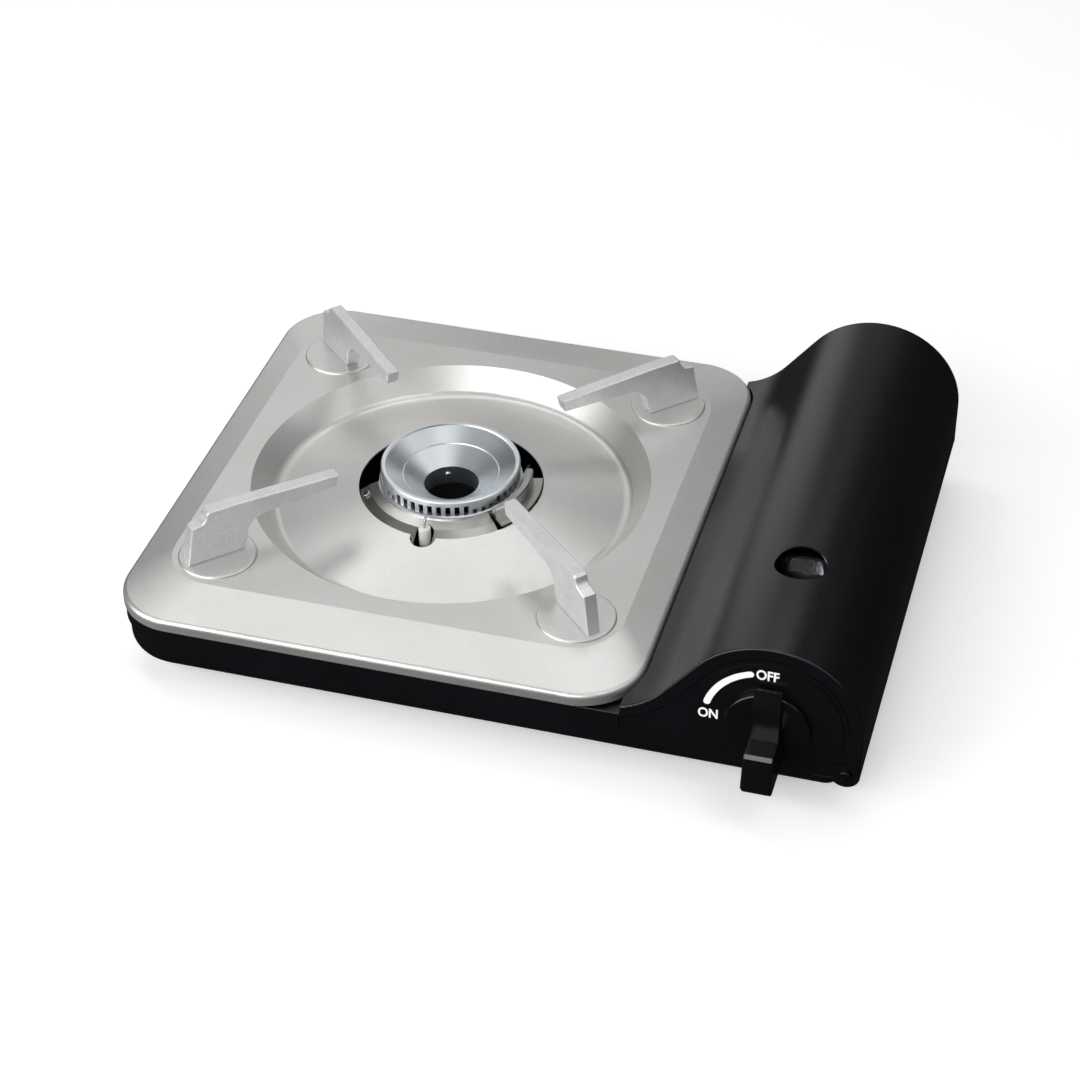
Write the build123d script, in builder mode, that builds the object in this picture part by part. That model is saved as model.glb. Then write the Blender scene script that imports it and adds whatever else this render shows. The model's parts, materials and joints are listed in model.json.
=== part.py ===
"""Slim table-top cassette-gas camping stove, as an assembly of separate pieces.

Millimetres, +Z up, +X to the right, the knob on the front (-Y).
The origin is the middle of the bounding box at the level that the feet stand on.
"""
from build123d import *
import os
from math import acos, asin, atan2, cos, degrees, hypot, radians, sin, sqrt

os.makedirs("parts", exist_ok=True)

# ---------------------------------------------------------------- overall
overall_width = 341.0
overall_depth = 283.0
overall_height = 84.0
left_x = -overall_width / 2
right_x = overall_width / 2
front_y = -overall_depth / 2
rear_y = overall_depth / 2

body_sheet = 1.0        # steel sheet of the body, frame, panels and cover
plate_sheet = 0.8       # pressed sheet of the drip plate
touch_gap = 0.3         # free space between curved faces on different bodies
pivot_gap = 0.05        # radial running clearance of pins and shafts
edge_gap = 1.0          # gap between the drip plate and the cover's lip

# ---------------------------------------------------------------- drip plate
bay_width = 99.0        # beside the plate, for the canister bay
plate_width = overall_width - bay_width
plate_setback = 21.0    # the knob stands out this far in front of the plate
plate_depth = overall_depth - plate_setback
plate_corner = 29.0
plate_x = left_x + plate_width / 2
plate_y = rear_y - plate_depth / 2
cover_rise = 49.5       # the cover's crown above the frame
frame_top = overall_height - cover_rise
rest_height = 1.6
rest_radius = 4.0
skirt_height = 5.4
skirt_round = 2.4
border_rise = 4.0
deck_side_border = 15.5
deck_width = plate_width - 2 * deck_side_border
deck_end_border = 25.5
deck_depth = plate_depth - 2 * deck_end_border
deck_corner = 24.0
skirt_bottom = frame_top + rest_height
skirt_top = skirt_bottom + skirt_height
deck_top = skirt_top + border_rise

dish_radius = 94.0
trough_radius = 84.0
trough_depth = 12.5
dish_hole_radius = 43.5
dish_hole_drop = 3.0    # how far the hole's edge lies below the deck
dish_round = 5.0
notch_radius = 6.0

boss_radius = 18.0
boss_rise = 1.0
support_circle = 119.0
support_angles = {"front_left": 225, "front_right": 315, "rear_right": 45, "rear_left": 135}

# ---------------------------------------------------------------- pan supports
support_thickness = 6.4
support_top = deck_top + 26.9
support_tip_top = support_top - 2.2
support_tip_bottom = support_top - 8.4
support_tip_reach = 58.5
support_outer_reach = 134.5
support_inner_foot = 107.5
support_hook = 126.0
support_waist = 94.0
support_screw_radius = 1.5
support_screw_offset = 8.0

# ---------------------------------------------------------------- body
foot_height = 10.0
foot_radius = 8.0
foot_neck_radius = 3.0
body_front = -118.5
body_rear = 135.5
frame_left = left_x
frame_corner = 28.0
band_bottom = frame_top - 7.0
pan_inset = 2.2         # pan wall set back from the frame band, front and rear
pan_side_inset = 1.05   # the same on the left
pan_right = right_x - 7.5
pan_corner = 26.0
pan_right_corner = 9.0
pan_round = 8.0
pan_top = frame_top - body_sheet
pan_low_wall_top = band_bottom - 0.5
floor_top = foot_height + body_sheet
ledge_width = 12.0
bar_left = left_x + plate_width - 13.5
bar_right = bar_left + 20.0
panel_left = right_x - 104.5
seam_gap = 0.4

# ---------------------------------------------------------------- canister cover
shoulder_radius = 40.2
shoulder_x = right_x - shoulder_radius
shoulder_z = overall_height - shoulder_radius
valley_x = shoulder_x - 75.3
valley_z = shoulder_z + 31.1
valley_radius = 37.9
cover_lip = shoulder_x - 64.3
flange_depth = 5.6
cover_edge_round = 0.9
window_x = shoulder_x - 0.5
window_y = -58.1
window_radius = 11.4
ear_radius = 6.5
hinge_x = right_x - ear_radius
hinge_z = frame_top - 11.5
hinge_pin_radius = 1.75
hinge_head_radius = 2.9
hinge_head_height = 1.8

# ---------------------------------------------------------------- front panel and knob
panel_inset = flange_depth + seam_gap
panel_bottom = 20.5
panel_step_x = shoulder_x - 38.3
panel_foot_x = panel_step_x + 5.0
dial_thickness = 0.4
dial_radius = 32.0
dial_arc_end = 140.0   # where the arc gives way to the slanted left edge
knob_x = shoulder_x
knob_z = shoulder_z - 0.3
knob_disc_radius = 18.4
knob_disc_thickness = 2.8
knob_grip_width = 11.8
knob_block_width = 13.4
knob_grip_top = 21.5     # above the axis
knob_grip_bottom = 21.0  # below the axis
knob_block_top = -2.0    # level of the finger block's top from the axis
knob_gap = 0.4
knob_nose_drop = 17.6     # where the finger block reaches furthest forward
spindle_radius = 4.0
spindle_grip = 5.5       # how deep the spindle sits in the knob

# ---------------------------------------------------------------- burner
burner_x = plate_x
burner_y = plate_y
head_radius = 32.7
head_ring_radius = head_radius + 0.7
head_bottom = deck_top - 0.1
head_top = head_bottom + 9.3
head_wall = 2.0
rim_width = 2.4
groove_radius = 22.8
groove_level = head_top - 5.5
bore_radius = 12.9
bore_level = head_bottom - 3.0
bore_bottom = head_bottom - 12.4
slot_count = 48
slot_width = 2.3
slot_height = 5.0
short_slot_height = 2.4
slot_bottom = head_bottom + 1.8
casting_radius = 25.0
casting_bottom = 15.0
casting_wall = 2.0
base_sheet = 0.8
base_reach = 46.5
base_drop = 6.9
electrode_reach = 40.5
electrode_radius = 2.8
electrode_top = head_bottom + 0.4
electrode_bottom = head_bottom - 14.4
spark_wire_radius = 0.6

# ---------------------------------------------------------------- gas canister
canister_x = shoulder_x + 1.7
canister_z = shoulder_z + 2.2
canister_radius = 33.0
canister_length = 184.0
canister_tip_y = -68.0
canister_seam_y = -48.0
canister_wall = 0.6
seam_bead = 0.8
collar_radius = 15.5
stem_radius = 1.9
saddle_gap = 0.35

# ---------------------------------------------------------------- gas train
regulator_y = -84.5
regulator_radius = 17.0
regulator_front = -96.0
regulator_rear = -73.0
tube_radius = 8.0
tube_wall = 1.0
tube_z = 22.0
tube_start_x = canister_x - 36.0
tube_bend_x = bar_left - 8.0
tube_bend_radius = 60.0
shield_x = bar_right + seam_gap
shield_top = frame_top + 6.0
lead_radius = 1.1
piezo_travel = 4.0
knob_turn = 90.0


def save(piece, node):
    """Label a finished piece and write it to its own STEP file."""
    piece.part.label = node
    export_step(piece.part, f"parts/{node}.step")


def front_plane(y):
    """A sketch plane facing the front at this Y: local x is +X, local y is +Z."""
    return Plane.XZ.offset(-y)


def side_plane(x):
    """A sketch plane facing right at this X: local x is +Y, local y is +Z."""
    return Plane.YZ.offset(x)


def shoulder_normal():
    """Angle of the normal of the cover's straight flank, between its two arcs."""
    spacing = hypot(shoulder_x - valley_x, valley_z - shoulder_z)
    bearing = atan2(valley_z - shoulder_z, valley_x - shoulder_x)
    return degrees(bearing - acos((shoulder_radius + valley_radius) / spacing))


flank_angle = shoulder_normal()


def valley_height(x, inset):
    """Height of the cover's hollow flank above X, for a line inset by this much."""
    return valley_z - sqrt((valley_radius + inset) ** 2 - (x - valley_x) ** 2)


def shoulder_area(inset, lip_x, base_z):
    """Fill the area under the cover's section line, inset from its outside, down to a flat base."""
    big = shoulder_radius - inset
    small = valley_radius + inset
    lip_angle = 270 + degrees(asin((lip_x - valley_x) / small))
    with BuildLine() as section:
        crown = CenterArc((shoulder_x, shoulder_z), big, 0, flank_angle)
        hollow = CenterArc((valley_x, valley_z), small, 180 + flank_angle, lip_angle - 180 - flank_angle)
        Line(crown @ 1, hollow @ 0)
        Polyline(hollow @ 1, (lip_x, base_z), (right_x - inset, base_z), crown @ 0)
    make_face(section.edges())


def screw(radius, head_radius, head_height, length):
    """Draw a pan-head screw on its own axis: head above the plane, shank below it."""
    Cylinder(radius, length, align=(Align.CENTER, Align.CENTER, Align.MAX))
    Cylinder(head_radius, head_height, align=(Align.CENTER, Align.CENTER, Align.MIN))


# ================================================================ BODY
# base pan: a pressed tray with a rounded bottom edge, lower along the canister bay
pan_left = frame_left + pan_side_inset
pan_front = body_front + pan_inset
pan_rear = body_rear - pan_inset
tab_length = 9.5
tab_width = 14.0
frame_screw_radius = 1.5
frame_screw_inset = 8.0
frame_screw_spots = [
    (frame_left + frame_screw_inset, -60.0),
    (frame_left + frame_screw_inset, 77.0),
    (40.0, body_front + frame_screw_inset - 1),
    (40.0, body_rear - frame_screw_inset + 1),
]
foot_left = left_x + 30.5
foot_right = right_x - 35.5
foot_front = body_front + 30.5
foot_rear = body_rear - 30.5
foot_spots = [(foot_left, foot_front), (foot_left, foot_rear), (foot_right, foot_front), (foot_right, foot_rear)]
bay_wall_x = right_x - 20.5
bay_wall_front = -100.0
rivet_radius = 1.6
rivet_level = frame_top - 7.5
rivet_spots = [(shoulder_x - 46.3, frame_top - 4.0), (shoulder_x - 22.3, rivet_level), (shoulder_x + 15.7, rivet_level)]


def tray_outline(inset):
    """Outline of the base pan, inset from its outside."""
    left, right = pan_left + inset, pan_right - inset
    front, rear = pan_front + inset, pan_rear - inset
    big, small = pan_corner - inset, pan_right_corner - inset
    with BuildLine() as outline:
        FilletPolyline((left, front), (right, front), (right, rear), (left, rear),
                       radius=[big, small, small, big], close=True)
    make_face(outline.edges())


with BuildPart() as tray_core:
    with BuildSketch(Plane.XY.offset(floor_top)):
        tray_outline(body_sheet)
    extrude(amount=pan_top)
    fillet(tray_core.faces().sort_by(Axis.Z)[0].edges(), pan_round - body_sheet)

with BuildPart() as base_pan:
    with BuildSketch(Plane.XY.offset(foot_height)):
        tray_outline(0)
    extrude(amount=pan_top - foot_height)
    fillet(base_pan.faces().sort_by(Axis.Z)[0].edges(), pan_round)
    add(tray_core.part, mode=Mode.SUBTRACT)
    with Locations((pan_right, (bay_wall_front + rear_y) / 2, pan_low_wall_top)):
        Box(2 * (pan_right - bay_wall_x), rear_y - bay_wall_front, pan_top,
            align=(Align.CENTER, Align.CENTER, Align.MIN), mode=Mode.SUBTRACT)
    # tabs that the frame is screwed to
    tab_mid = pan_top - body_sheet / 2
    with Locations(*[(pan_left + body_sheet + tab_length / 2, y, tab_mid) for x, y in frame_screw_spots[:2]]):
        Box(tab_length, tab_width, body_sheet)
    with Locations((40.0, pan_front + body_sheet + tab_length / 2, tab_mid),
                   (40.0, pan_rear - body_sheet - tab_length / 2, tab_mid)):
        Box(tab_width, tab_length, body_sheet)
    with Locations(*[(x, y, pan_top) for x, y in frame_screw_spots]):
        Hole(frame_screw_radius, depth=2 * body_sheet)
    with Locations(*[(x, y, floor_top) for x, y in foot_spots]):
        Hole(foot_neck_radius, depth=2 * body_sheet)
    # air hole under the burner's bore
    with Locations((burner_x, burner_y, floor_top)):
        Hole(bore_radius, depth=2 * body_sheet)
    # rivet holes in the front and rear walls of the canister bay
    with BuildSketch(front_plane(pan_front)):
        with Locations(*rivet_spots):
            Circle(rivet_radius)
    extrude(amount=-(pan_rear - pan_front), mode=Mode.SUBTRACT)
save(base_pan, "base_pan")

# upper frame: band round the burner bay, ledge under the drip plate, bar beside the cover
with BuildPart() as upper_frame:
    frame_mid_y = (body_front + body_rear) / 2
    frame_width = bar_right - frame_left
    frame_depth = body_rear - body_front
    frame_mid_x = (bar_right + frame_left) / 2
    with BuildSketch(Plane.XY.offset(band_bottom)):
        with Locations((frame_mid_x, frame_mid_y)):
            band = Rectangle(frame_width, frame_depth)
        fillet(band.vertices().group_by(Axis.X)[0], frame_corner)
    extrude(amount=frame_top - band_bottom)
    fillet(upper_frame.faces().sort_by(Axis.Z)[-1].edges().group_by(Axis.X)[0], body_sheet * 0.6)
    with BuildSketch(Plane.XY.offset(band_bottom)):
        with Locations((frame_mid_x + body_sheet, frame_mid_y)):
            hollow = Rectangle(frame_width, frame_depth - 2 * body_sheet)
        fillet(hollow.vertices().group_by(Axis.X)[0], frame_corner - body_sheet)
    extrude(amount=pan_top - band_bottom, mode=Mode.SUBTRACT)
    with BuildSketch(Plane.XY.offset(band_bottom)):
        opening_left = frame_left + ledge_width
        with Locations(((opening_left + bar_left) / 2, frame_mid_y)):
            RectangleRounded(bar_left - opening_left, frame_depth - 2 * ledge_width, frame_corner - ledge_width)
    extrude(amount=frame_top, mode=Mode.SUBTRACT)
    # the panels take the band's place beside the cover
    for edge_y in (body_front, body_rear):
        with Locations((bar_right, edge_y, frame_top)):
            Box(2 * (bar_right - panel_left + seam_gap), 2 * (body_sheet + seam_gap), frame_top, mode=Mode.SUBTRACT)
    with Locations(*[(x, y, frame_top) for x, y in frame_screw_spots]):
        Hole(frame_screw_radius + 0.1, depth=2 * body_sheet)
    # drain notch in the band's top edge, near the panel
    with Locations((38.0, body_front, frame_top)):
        Box(3.0, 2 * body_sheet, 2.4, mode=Mode.SUBTRACT)
save(upper_frame, "upper_frame")

with BuildPart() as frame_screws:
    for x, y in frame_screw_spots:
        with Locations((x, y, frame_top)):
            screw(frame_screw_radius, 2.8, 1.8, 6.0)
save(frame_screws, "frame_screws")


# front and rear panels: sheets that follow the cover's section inside its turned-down flange
def panel_area():
    """Outline of the knob panel and of the rear panel."""
    shoulder_area(panel_inset, panel_left, panel_bottom)
    with BuildLine() as step:
        Polyline((panel_left, 0), (panel_foot_x, 0), (panel_foot_x, panel_bottom), (panel_step_x, band_bottom),
                 (panel_left, band_bottom), close=True)
    make_face(step.edges(), mode=Mode.SUBTRACT)
    with Locations((hinge_x, hinge_z)):
        Circle(ear_radius + 0.5, mode=Mode.SUBTRACT)


with BuildPart() as front_panel:
    with BuildSketch(front_plane(body_front)):
        panel_area()
        with Locations((knob_x, knob_z)):
            Circle(spindle_radius + 0.5, mode=Mode.SUBTRACT)
    extrude(amount=-body_sheet)
save(front_panel, "front_panel")

vent_pitch = 8.0
with BuildPart() as rear_panel:
    with BuildSketch(front_plane(body_rear)):
        panel_area()
    extrude(amount=body_sheet)
    # vents low in the rear panel
    with Locations(*[(canister_x + step * vent_pitch, body_rear, canister_z - 1.0) for step in (-2, -1, 0, 1, 2)]):
        Box(3.0, 4 * body_sheet, 14.0, mode=Mode.SUBTRACT)
save(rear_panel, "rear_panel")

# dial plate: thin D-shaped plate behind the knob
with BuildPart() as dial_plate:
    with BuildSketch(front_plane(body_front)) as dial_outline:
        with BuildLine():
            dial_bottom = panel_bottom + 0.7
            dial_left = shoulder_x - 38.4
            dial_right = shoulder_x + dial_radius
            top_arc = CenterArc((shoulder_x, shoulder_z), dial_radius, 0, dial_arc_end)
            Polyline(top_arc @ 1, (dial_left, dial_bottom + 3.8), (dial_left + 5.4, dial_bottom),
                     (dial_right, dial_bottom), (dial_right, shoulder_z))
        make_face()
        fillet(dial_outline.vertices().group_by(Axis.X)[0], 3.0)
        arc_end = (shoulder_x + dial_radius * cos(radians(dial_arc_end)),
                   shoulder_z + dial_radius * sin(radians(dial_arc_end)))
        fillet(dial_outline.vertices().sort_by_distance(arc_end)[0], 9.0)
        with Locations((hinge_x, hinge_z)):
            Circle(ear_radius + 2.0, mode=Mode.SUBTRACT)
        with Locations((knob_x, knob_z)):
            Circle(spindle_radius + 0.5, mode=Mode.SUBTRACT)
    extrude(amount=dial_thickness)
save(dial_plate, "dial_plate")

# rivets that hold the panels to the pan's walls, with a collar between the two sheets
panel_space = pan_inset - body_sheet
with BuildPart() as panel_rivets:
    for x, z in rivet_spots:
        for wall_y, outward in ((pan_front, -1), (pan_rear, 1)):
            inner_y = wall_y - outward * body_sheet
            with Locations(Location((x, inner_y, z), (90 * outward, 0, 0))):
                Cylinder(2.6, 0.9, align=(Align.CENTER, Align.CENTER, Align.MIN))
                Cylinder(rivet_radius, body_sheet, align=(Align.CENTER, Align.CENTER, Align.MAX))
            with Locations(Location((x, wall_y, z), (90 * outward, 0, 0))):
                Cylinder(3.5, panel_space, align=(Align.CENTER, Align.CENTER, Align.MAX))
save(panel_rivets, "panel_rivets")

# hinge brackets: sheets between panel and pan, each with a threaded collar on the hinge axis
mid_plane = front_plane((body_front + body_rear) / 2)
collar_outer = 3.6
collar_length = 0.8
bracket_height = 8.0
bracket_y = pan_front - body_sheet
with BuildPart() as hinge_bracket_front:
    with BuildSketch(front_plane(bracket_y)):
        with Locations((hinge_x, hinge_z)):
            Circle(ear_radius - body_sheet - touch_gap)
        with Locations(((hinge_x + bay_wall_x) / 2, hinge_z)):
            Rectangle(hinge_x - bay_wall_x, bracket_height)
    extrude(amount=-body_sheet)
    with BuildSketch(front_plane(bracket_y + body_sheet)):
        with Locations((hinge_x, hinge_z)):
            Circle(collar_outer)
    extrude(amount=-collar_length)
    with BuildSketch(front_plane(bracket_y)):
        with Locations((hinge_x, hinge_z)):
            Circle(hinge_pin_radius)
    extrude(amount=-(body_sheet + collar_length), mode=Mode.SUBTRACT)
save(hinge_bracket_front, "hinge_bracket_front")

with BuildPart() as hinge_bracket_rear:
    mirror(hinge_bracket_front.part, about=mid_plane)
save(hinge_bracket_rear, "hinge_bracket_rear")

# hinge screws: the cover's two ears turn on their plain shanks
hinge_head_space = 0.1
hinge_shank = hinge_head_space + 2 * body_sheet + panel_space + collar_length
with BuildPart() as hinge_screws:
    for end_y, outward in ((body_front, -1), (body_rear, 1)):
        with Locations(Location((hinge_x, end_y + outward * hinge_head_space, hinge_z), (-90 * outward, 0, 0))):
            screw(hinge_pin_radius, hinge_head_radius, hinge_head_height, hinge_shank)
    fillet(hinge_screws.faces().sort_by(Axis.Y)[0].edges(), 0.7)
    fillet(hinge_screws.faces().sort_by(Axis.Y)[-1].edges(), 0.7)
save(hinge_screws, "hinge_screws")

# heat shield between burner and canister, with a foot flange
shield_front = pan_front + body_sheet + touch_gap
shield_rear = pan_rear - body_sheet - touch_gap
shield_foot = 8.0
strip_front = 7.0
strip_width = 36.0
strip_sheet = 1.2
strip_bottom = floor_top + 0.5
lead_y = -106.0
lead_z = 24.0
with BuildPart() as heat_shield:
    shield_depth = shield_rear - shield_front
    shield_mid_y = (shield_front + shield_rear) / 2
    with Locations((shield_x, shield_mid_y, floor_top)):
        Box(plate_sheet, shield_depth, shield_top - floor_top, align=(Align.MIN, Align.CENTER, Align.MIN))
        Box(shield_foot, shield_depth - 20.0, plate_sheet, align=(Align.MAX, Align.CENTER, Align.MIN))
    low_corners = heat_shield.edges().filter_by(Axis.X).filter_by(lambda e: abs(e.length - plate_sheet) < 0.01)
    fillet(low_corners.group_by(Axis.Z)[0], pan_round - body_sheet)
    with Locations((shield_x, strip_front + strip_width / 2, floor_top)):
        Box(4 * shield_foot, strip_width + 2.0, 2 * strip_sheet + 1.0,
            align=(Align.CENTER, Align.CENTER, Align.MIN), mode=Mode.SUBTRACT)
    with Locations(Location((shield_x, regulator_y, tube_z), (0, 90, 0))):
        Hole(tube_radius + 0.6, depth=4.0)
    with Locations(Location((shield_x, lead_y, lead_z), (0, 90, 0))):
        Hole(lead_radius + 0.9, depth=4.0)
save(heat_shield, "heat_shield")

# rubber feet: pushed through the floor, held by a lip inside
with BuildPart() as rubber_feet:
    with BuildSketch(Plane.XZ) as foot_section:
        with BuildLine():
            Polyline((0, 0), (foot_radius - 1.2, 0), (foot_radius, 1.2), (foot_radius, foot_height),
                     (foot_neck_radius, foot_height), (foot_neck_radius, floor_top),
                     (foot_neck_radius + 1.5, floor_top), (foot_neck_radius, floor_top + 1.5),
                     (0, floor_top + 1.5), close=True)
        make_face()
    foot_solid = revolve(foot_section.sketch, axis=Axis.Z, mode=Mode.PRIVATE)
    for x, y in foot_spots:
        with Locations((x, y, 0)):
            add(foot_solid)
save(rubber_feet, "rubber_feet")

# bumpers on the frame's bar that the cover's lip comes down near
bumper_gap = 0.35
with BuildPart() as cover_bumpers:
    bumper_radius = 2.6
    bumper_x = bar_right - 3.2
    bumper_height = valley_height(bumper_x - bumper_radius, body_sheet) - frame_top - bumper_gap
    with Locations((bumper_x, -96.0, frame_top), (bumper_x, 113.0, frame_top)):
        Cylinder(bumper_radius, bumper_height, align=(Align.CENTER, Align.CENTER, Align.MIN))
    chamfer(cover_bumpers.faces().group_by(Axis.Z)[-1].edges(), 0.5)
save(cover_bumpers, "cover_bumpers")

# rubber rests on the frame, under the skirt of the drip plate
with BuildPart() as plate_rests:
    for x in (left_x + rest_radius, left_x + plate_width - rest_radius):
        with Locations((x, -40.0, frame_top), (x, 60.0, frame_top)):
            Cylinder(rest_radius, rest_height - touch_gap, align=(Align.CENTER, Align.CENTER, Align.MIN))
    chamfer(plate_rests.faces().group_by(Axis.Z)[-1].edges(), 0.3)
save(plate_rests, "plate_rests")

# ================================================================ COVER
cover_depth = body_rear - body_front
past_lip = cover_lip - 6.0
below_cover = hinge_z - 20.0
with BuildPart() as canister_cover:
    with BuildSketch(front_plane(body_front)):
        shoulder_area(0, cover_lip, hinge_z)
    extrude(amount=-cover_depth)
    for end_face in (canister_cover.faces().sort_by(Axis.Y)[0], canister_cover.faces().sort_by(Axis.Y)[-1]):
        rim = end_face.edges().filter_by(lambda e: e.center().Z > frame_top - 0.5 and e.center().X > cover_lip + 1)
        fillet(rim, cover_edge_round)
    with BuildSketch(front_plane(body_front + body_sheet)):
        shoulder_area(body_sheet, past_lip, below_cover)
    extrude(amount=-(cover_depth - 2 * body_sheet), mode=Mode.SUBTRACT)
    with BuildSketch(front_plane(body_front)):
        shoulder_area(flange_depth, past_lip, below_cover)
    extrude(amount=-cover_depth, mode=Mode.SUBTRACT)
    # the lip follows the drip plate's edge
    with BuildSketch(Plane.XY):
        with Locations((plate_x, plate_y)):
            RectangleRounded(plate_width + 2 * edge_gap, plate_depth + 2 * edge_gap, plate_corner + edge_gap)
    extrude(amount=overall_height, mode=Mode.SUBTRACT)
    # hinge ears at both ends
    for ear_y in (body_front, body_rear - body_sheet):
        with BuildSketch(front_plane(ear_y)):
            with Locations((hinge_x, hinge_z)):
                Circle(ear_radius)
        extrude(amount=-body_sheet)
    with BuildSketch(front_plane(body_front)):
        with Locations((hinge_x, hinge_z)):
            Circle(hinge_pin_radius + pivot_gap)
    extrude(amount=-cover_depth, mode=Mode.SUBTRACT)
    # inspection window over the canister's shoulder
    with Locations((window_x, window_y, overall_height)):
        Hole(window_radius, depth=overall_height - shoulder_z)
save(canister_cover, "canister_cover")

# ================================================================ DRIP PLATE
hole_level = deck_top - dish_hole_drop
trough_level = deck_top - trough_depth
support_spots = {
    side: (plate_x + support_circle * cos(radians(a)), plate_y + support_circle * sin(radians(a)))
    for side, a in support_angles.items()
}


def pressed_plate(inset, drop):
    """Solid under the plate's top surface, inset sideways and dropped by a sheet's thickness."""
    with BuildSketch(Plane.XY.offset(skirt_bottom)) as skirt:
        with Locations((plate_x, plate_y)):
            RectangleRounded(plate_width - 2 * inset, plate_depth - 2 * inset, plate_corner - inset)
    extrude(skirt.sketch, amount=skirt_height - drop)
    with BuildSketch(Plane.XY.offset(deck_top - drop)) as deck:
        with Locations((plate_x, plate_y)):
            RectangleRounded(deck_width, deck_depth, deck_corner)
    loft([skirt.sketch.moved(Location((0, 0, skirt_height - drop))), deck.sketch])


def dish_line(drop):
    """Top line of the pressed dish from its rim to the burner hole, dropped by a sheet."""
    return [
        (dish_radius, deck_top - drop),
        (trough_radius, trough_level - drop),
        (dish_hole_radius, hole_level - drop),
    ]


with BuildPart() as plate_hollow:
    pressed_plate(plate_sheet, plate_sheet)

with BuildPart() as drip_plate:
    pressed_plate(0, 0)
    bull_edge = drip_plate.edges().filter_by(
        lambda e: abs(e.center().Z - skirt_top) < 0.01 and e.length > 1)
    fillet(bull_edge, skirt_round)
    add(plate_hollow.part, mode=Mode.SUBTRACT)
    # deck opening for the dish
    with BuildSketch(Plane.XY.offset(frame_top)):
        with Locations((plate_x, plate_y)):
            Circle(dish_radius)
    extrude(amount=deck_top, mode=Mode.SUBTRACT)
    # dish: steep wall, trough, then a cone that rises to the burner hole
    with BuildSketch(front_plane(plate_y)) as dish_section:
        with BuildLine():
            upper = dish_line(0)
            lower = dish_line(plate_sheet)
            points = upper + lower[::-1]
            Polyline(*[(plate_x + r, z) for r, z in points], close=True)
        make_face()
        trough_points = dish_section.vertices().sort_by(Axis.Y)[:2]
        fillet(trough_points, dish_round)
    revolve(axis=Axis((plate_x, plate_y, 0), (0, 0, 1)))
    # round bosses under the pan supports
    with BuildSketch(Plane.XY.offset(deck_top - plate_sheet)):
        with Locations(*support_spots.values()):
            Circle(boss_radius)
    extrude(amount=boss_rise + plate_sheet)
    fillet(drip_plate.faces().group_by(Axis.Z)[-1].edges(), boss_rise * 0.9)
    with BuildSketch(Plane.XY.offset(deck_top - plate_sheet - 1)):
        with Locations(*support_spots.values()):
            Circle(boss_radius - plate_sheet - 0.6)
    extrude(amount=boss_rise + 1, mode=Mode.SUBTRACT)
    # notch in the burner hole for the spark electrode
    with BuildSketch(Plane.XY.offset(trough_level)):
        with Locations((plate_x, plate_y - dish_hole_radius)):
            Circle(notch_radius)
    extrude(amount=deck_top, mode=Mode.SUBTRACT)
    # screw holes of the pan supports
    for angle in support_angles.values():
        for reach in (-support_screw_offset, support_screw_offset):
            hole_reach = support_circle + 2.0 + reach
            hole_x = plate_x + hole_reach * cos(radians(angle))
            hole_y = plate_y + hole_reach * sin(radians(angle))
            with Locations((hole_x, hole_y, deck_top + boss_rise)):
                Hole(support_screw_radius, depth=4 * plate_sheet)
save(drip_plate, "drip_plate")

# pan supports: cast bars on edge, standing on the bosses, tips towards the burner
support_foot = deck_top + boss_rise


def support_at(angle):
    """Build one pan support along this direction from the burner's axis."""
    upright = Plane((plate_x, plate_y, 0), x_dir=(cos(radians(angle)), sin(radians(angle)), 0),
                    z_dir=(sin(radians(angle)), -cos(radians(angle)), 0))
    with BuildPart() as bar:
        with BuildSketch(upright):
            with BuildLine():
                Polyline((support_outer_reach, support_foot), (support_outer_reach - 3.5, support_top - 6.4),
                         (support_hook, support_top - 5.4))
                ThreePointArc((support_hook, support_top - 5.4), (support_hook - 1.8, support_top - 3.8),
                              (support_hook - 2.5, support_top - 1.0))
                Polyline((support_hook - 2.5, support_top - 1.0), (support_hook - 3.7, support_top),
                         (support_inner_foot + 0.5, support_top),
                         (support_tip_reach, support_tip_top), (support_tip_reach + 1.5, support_tip_bottom),
                         (support_waist, support_top - 9.9))
                Spline((support_waist, support_top - 9.9), (100.5, support_top - 11.8), (104.2, support_top - 16.4),
                       (105.4, support_top - 21.4),
                       (support_inner_foot, support_foot))
                Line((support_inner_foot, support_foot), (support_outer_reach, support_foot))
            make_face()
        extrude(amount=support_thickness / 2, both=True)
        side_edges = bar.faces().filter_by(upright).edges()
        chamfer(side_edges, 0.5)
        for reach in (-support_screw_offset, support_screw_offset):
            with Locations(upright.location * Location((support_circle + 2.0 + reach, support_foot, 0), (90, 0, 0))):
                Cylinder(support_screw_radius, 14.0, mode=Mode.SUBTRACT)
    return bar


for side, angle in support_angles.items():
    pan_support = support_at(angle)
    save(pan_support, f"pan_support_{side}")

with BuildPart() as pan_support_screws:
    for angle in support_angles.values():
        for reach in (-support_screw_offset, support_screw_offset):
            screw_reach = support_circle + 2.0 + reach
            screw_x = plate_x + screw_reach * cos(radians(angle))
            screw_y = plate_y + screw_reach * sin(radians(angle))
            with Locations(Location((screw_x, screw_y, support_foot - plate_sheet), (180, 0, 0))):
                screw(support_screw_radius, 2.8, 1.4, 6.5)
save(pan_support_screws, "pan_support_screws")

# ================================================================ BURNER
burner_axis = Axis((burner_x, burner_y, 0), (0, 0, 1))


def burner_ring(points):
    """Turn an outline of (radius, height) points into a ring round the burner's axis."""
    with BuildSketch(front_plane(burner_y)) as section:
        with BuildLine() as outline:
            Polyline(*[(burner_x + r, z) for r, z in points], close=True)
        make_face(outline.edges())
    revolve(section.sketch, axis=burner_axis)


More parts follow.
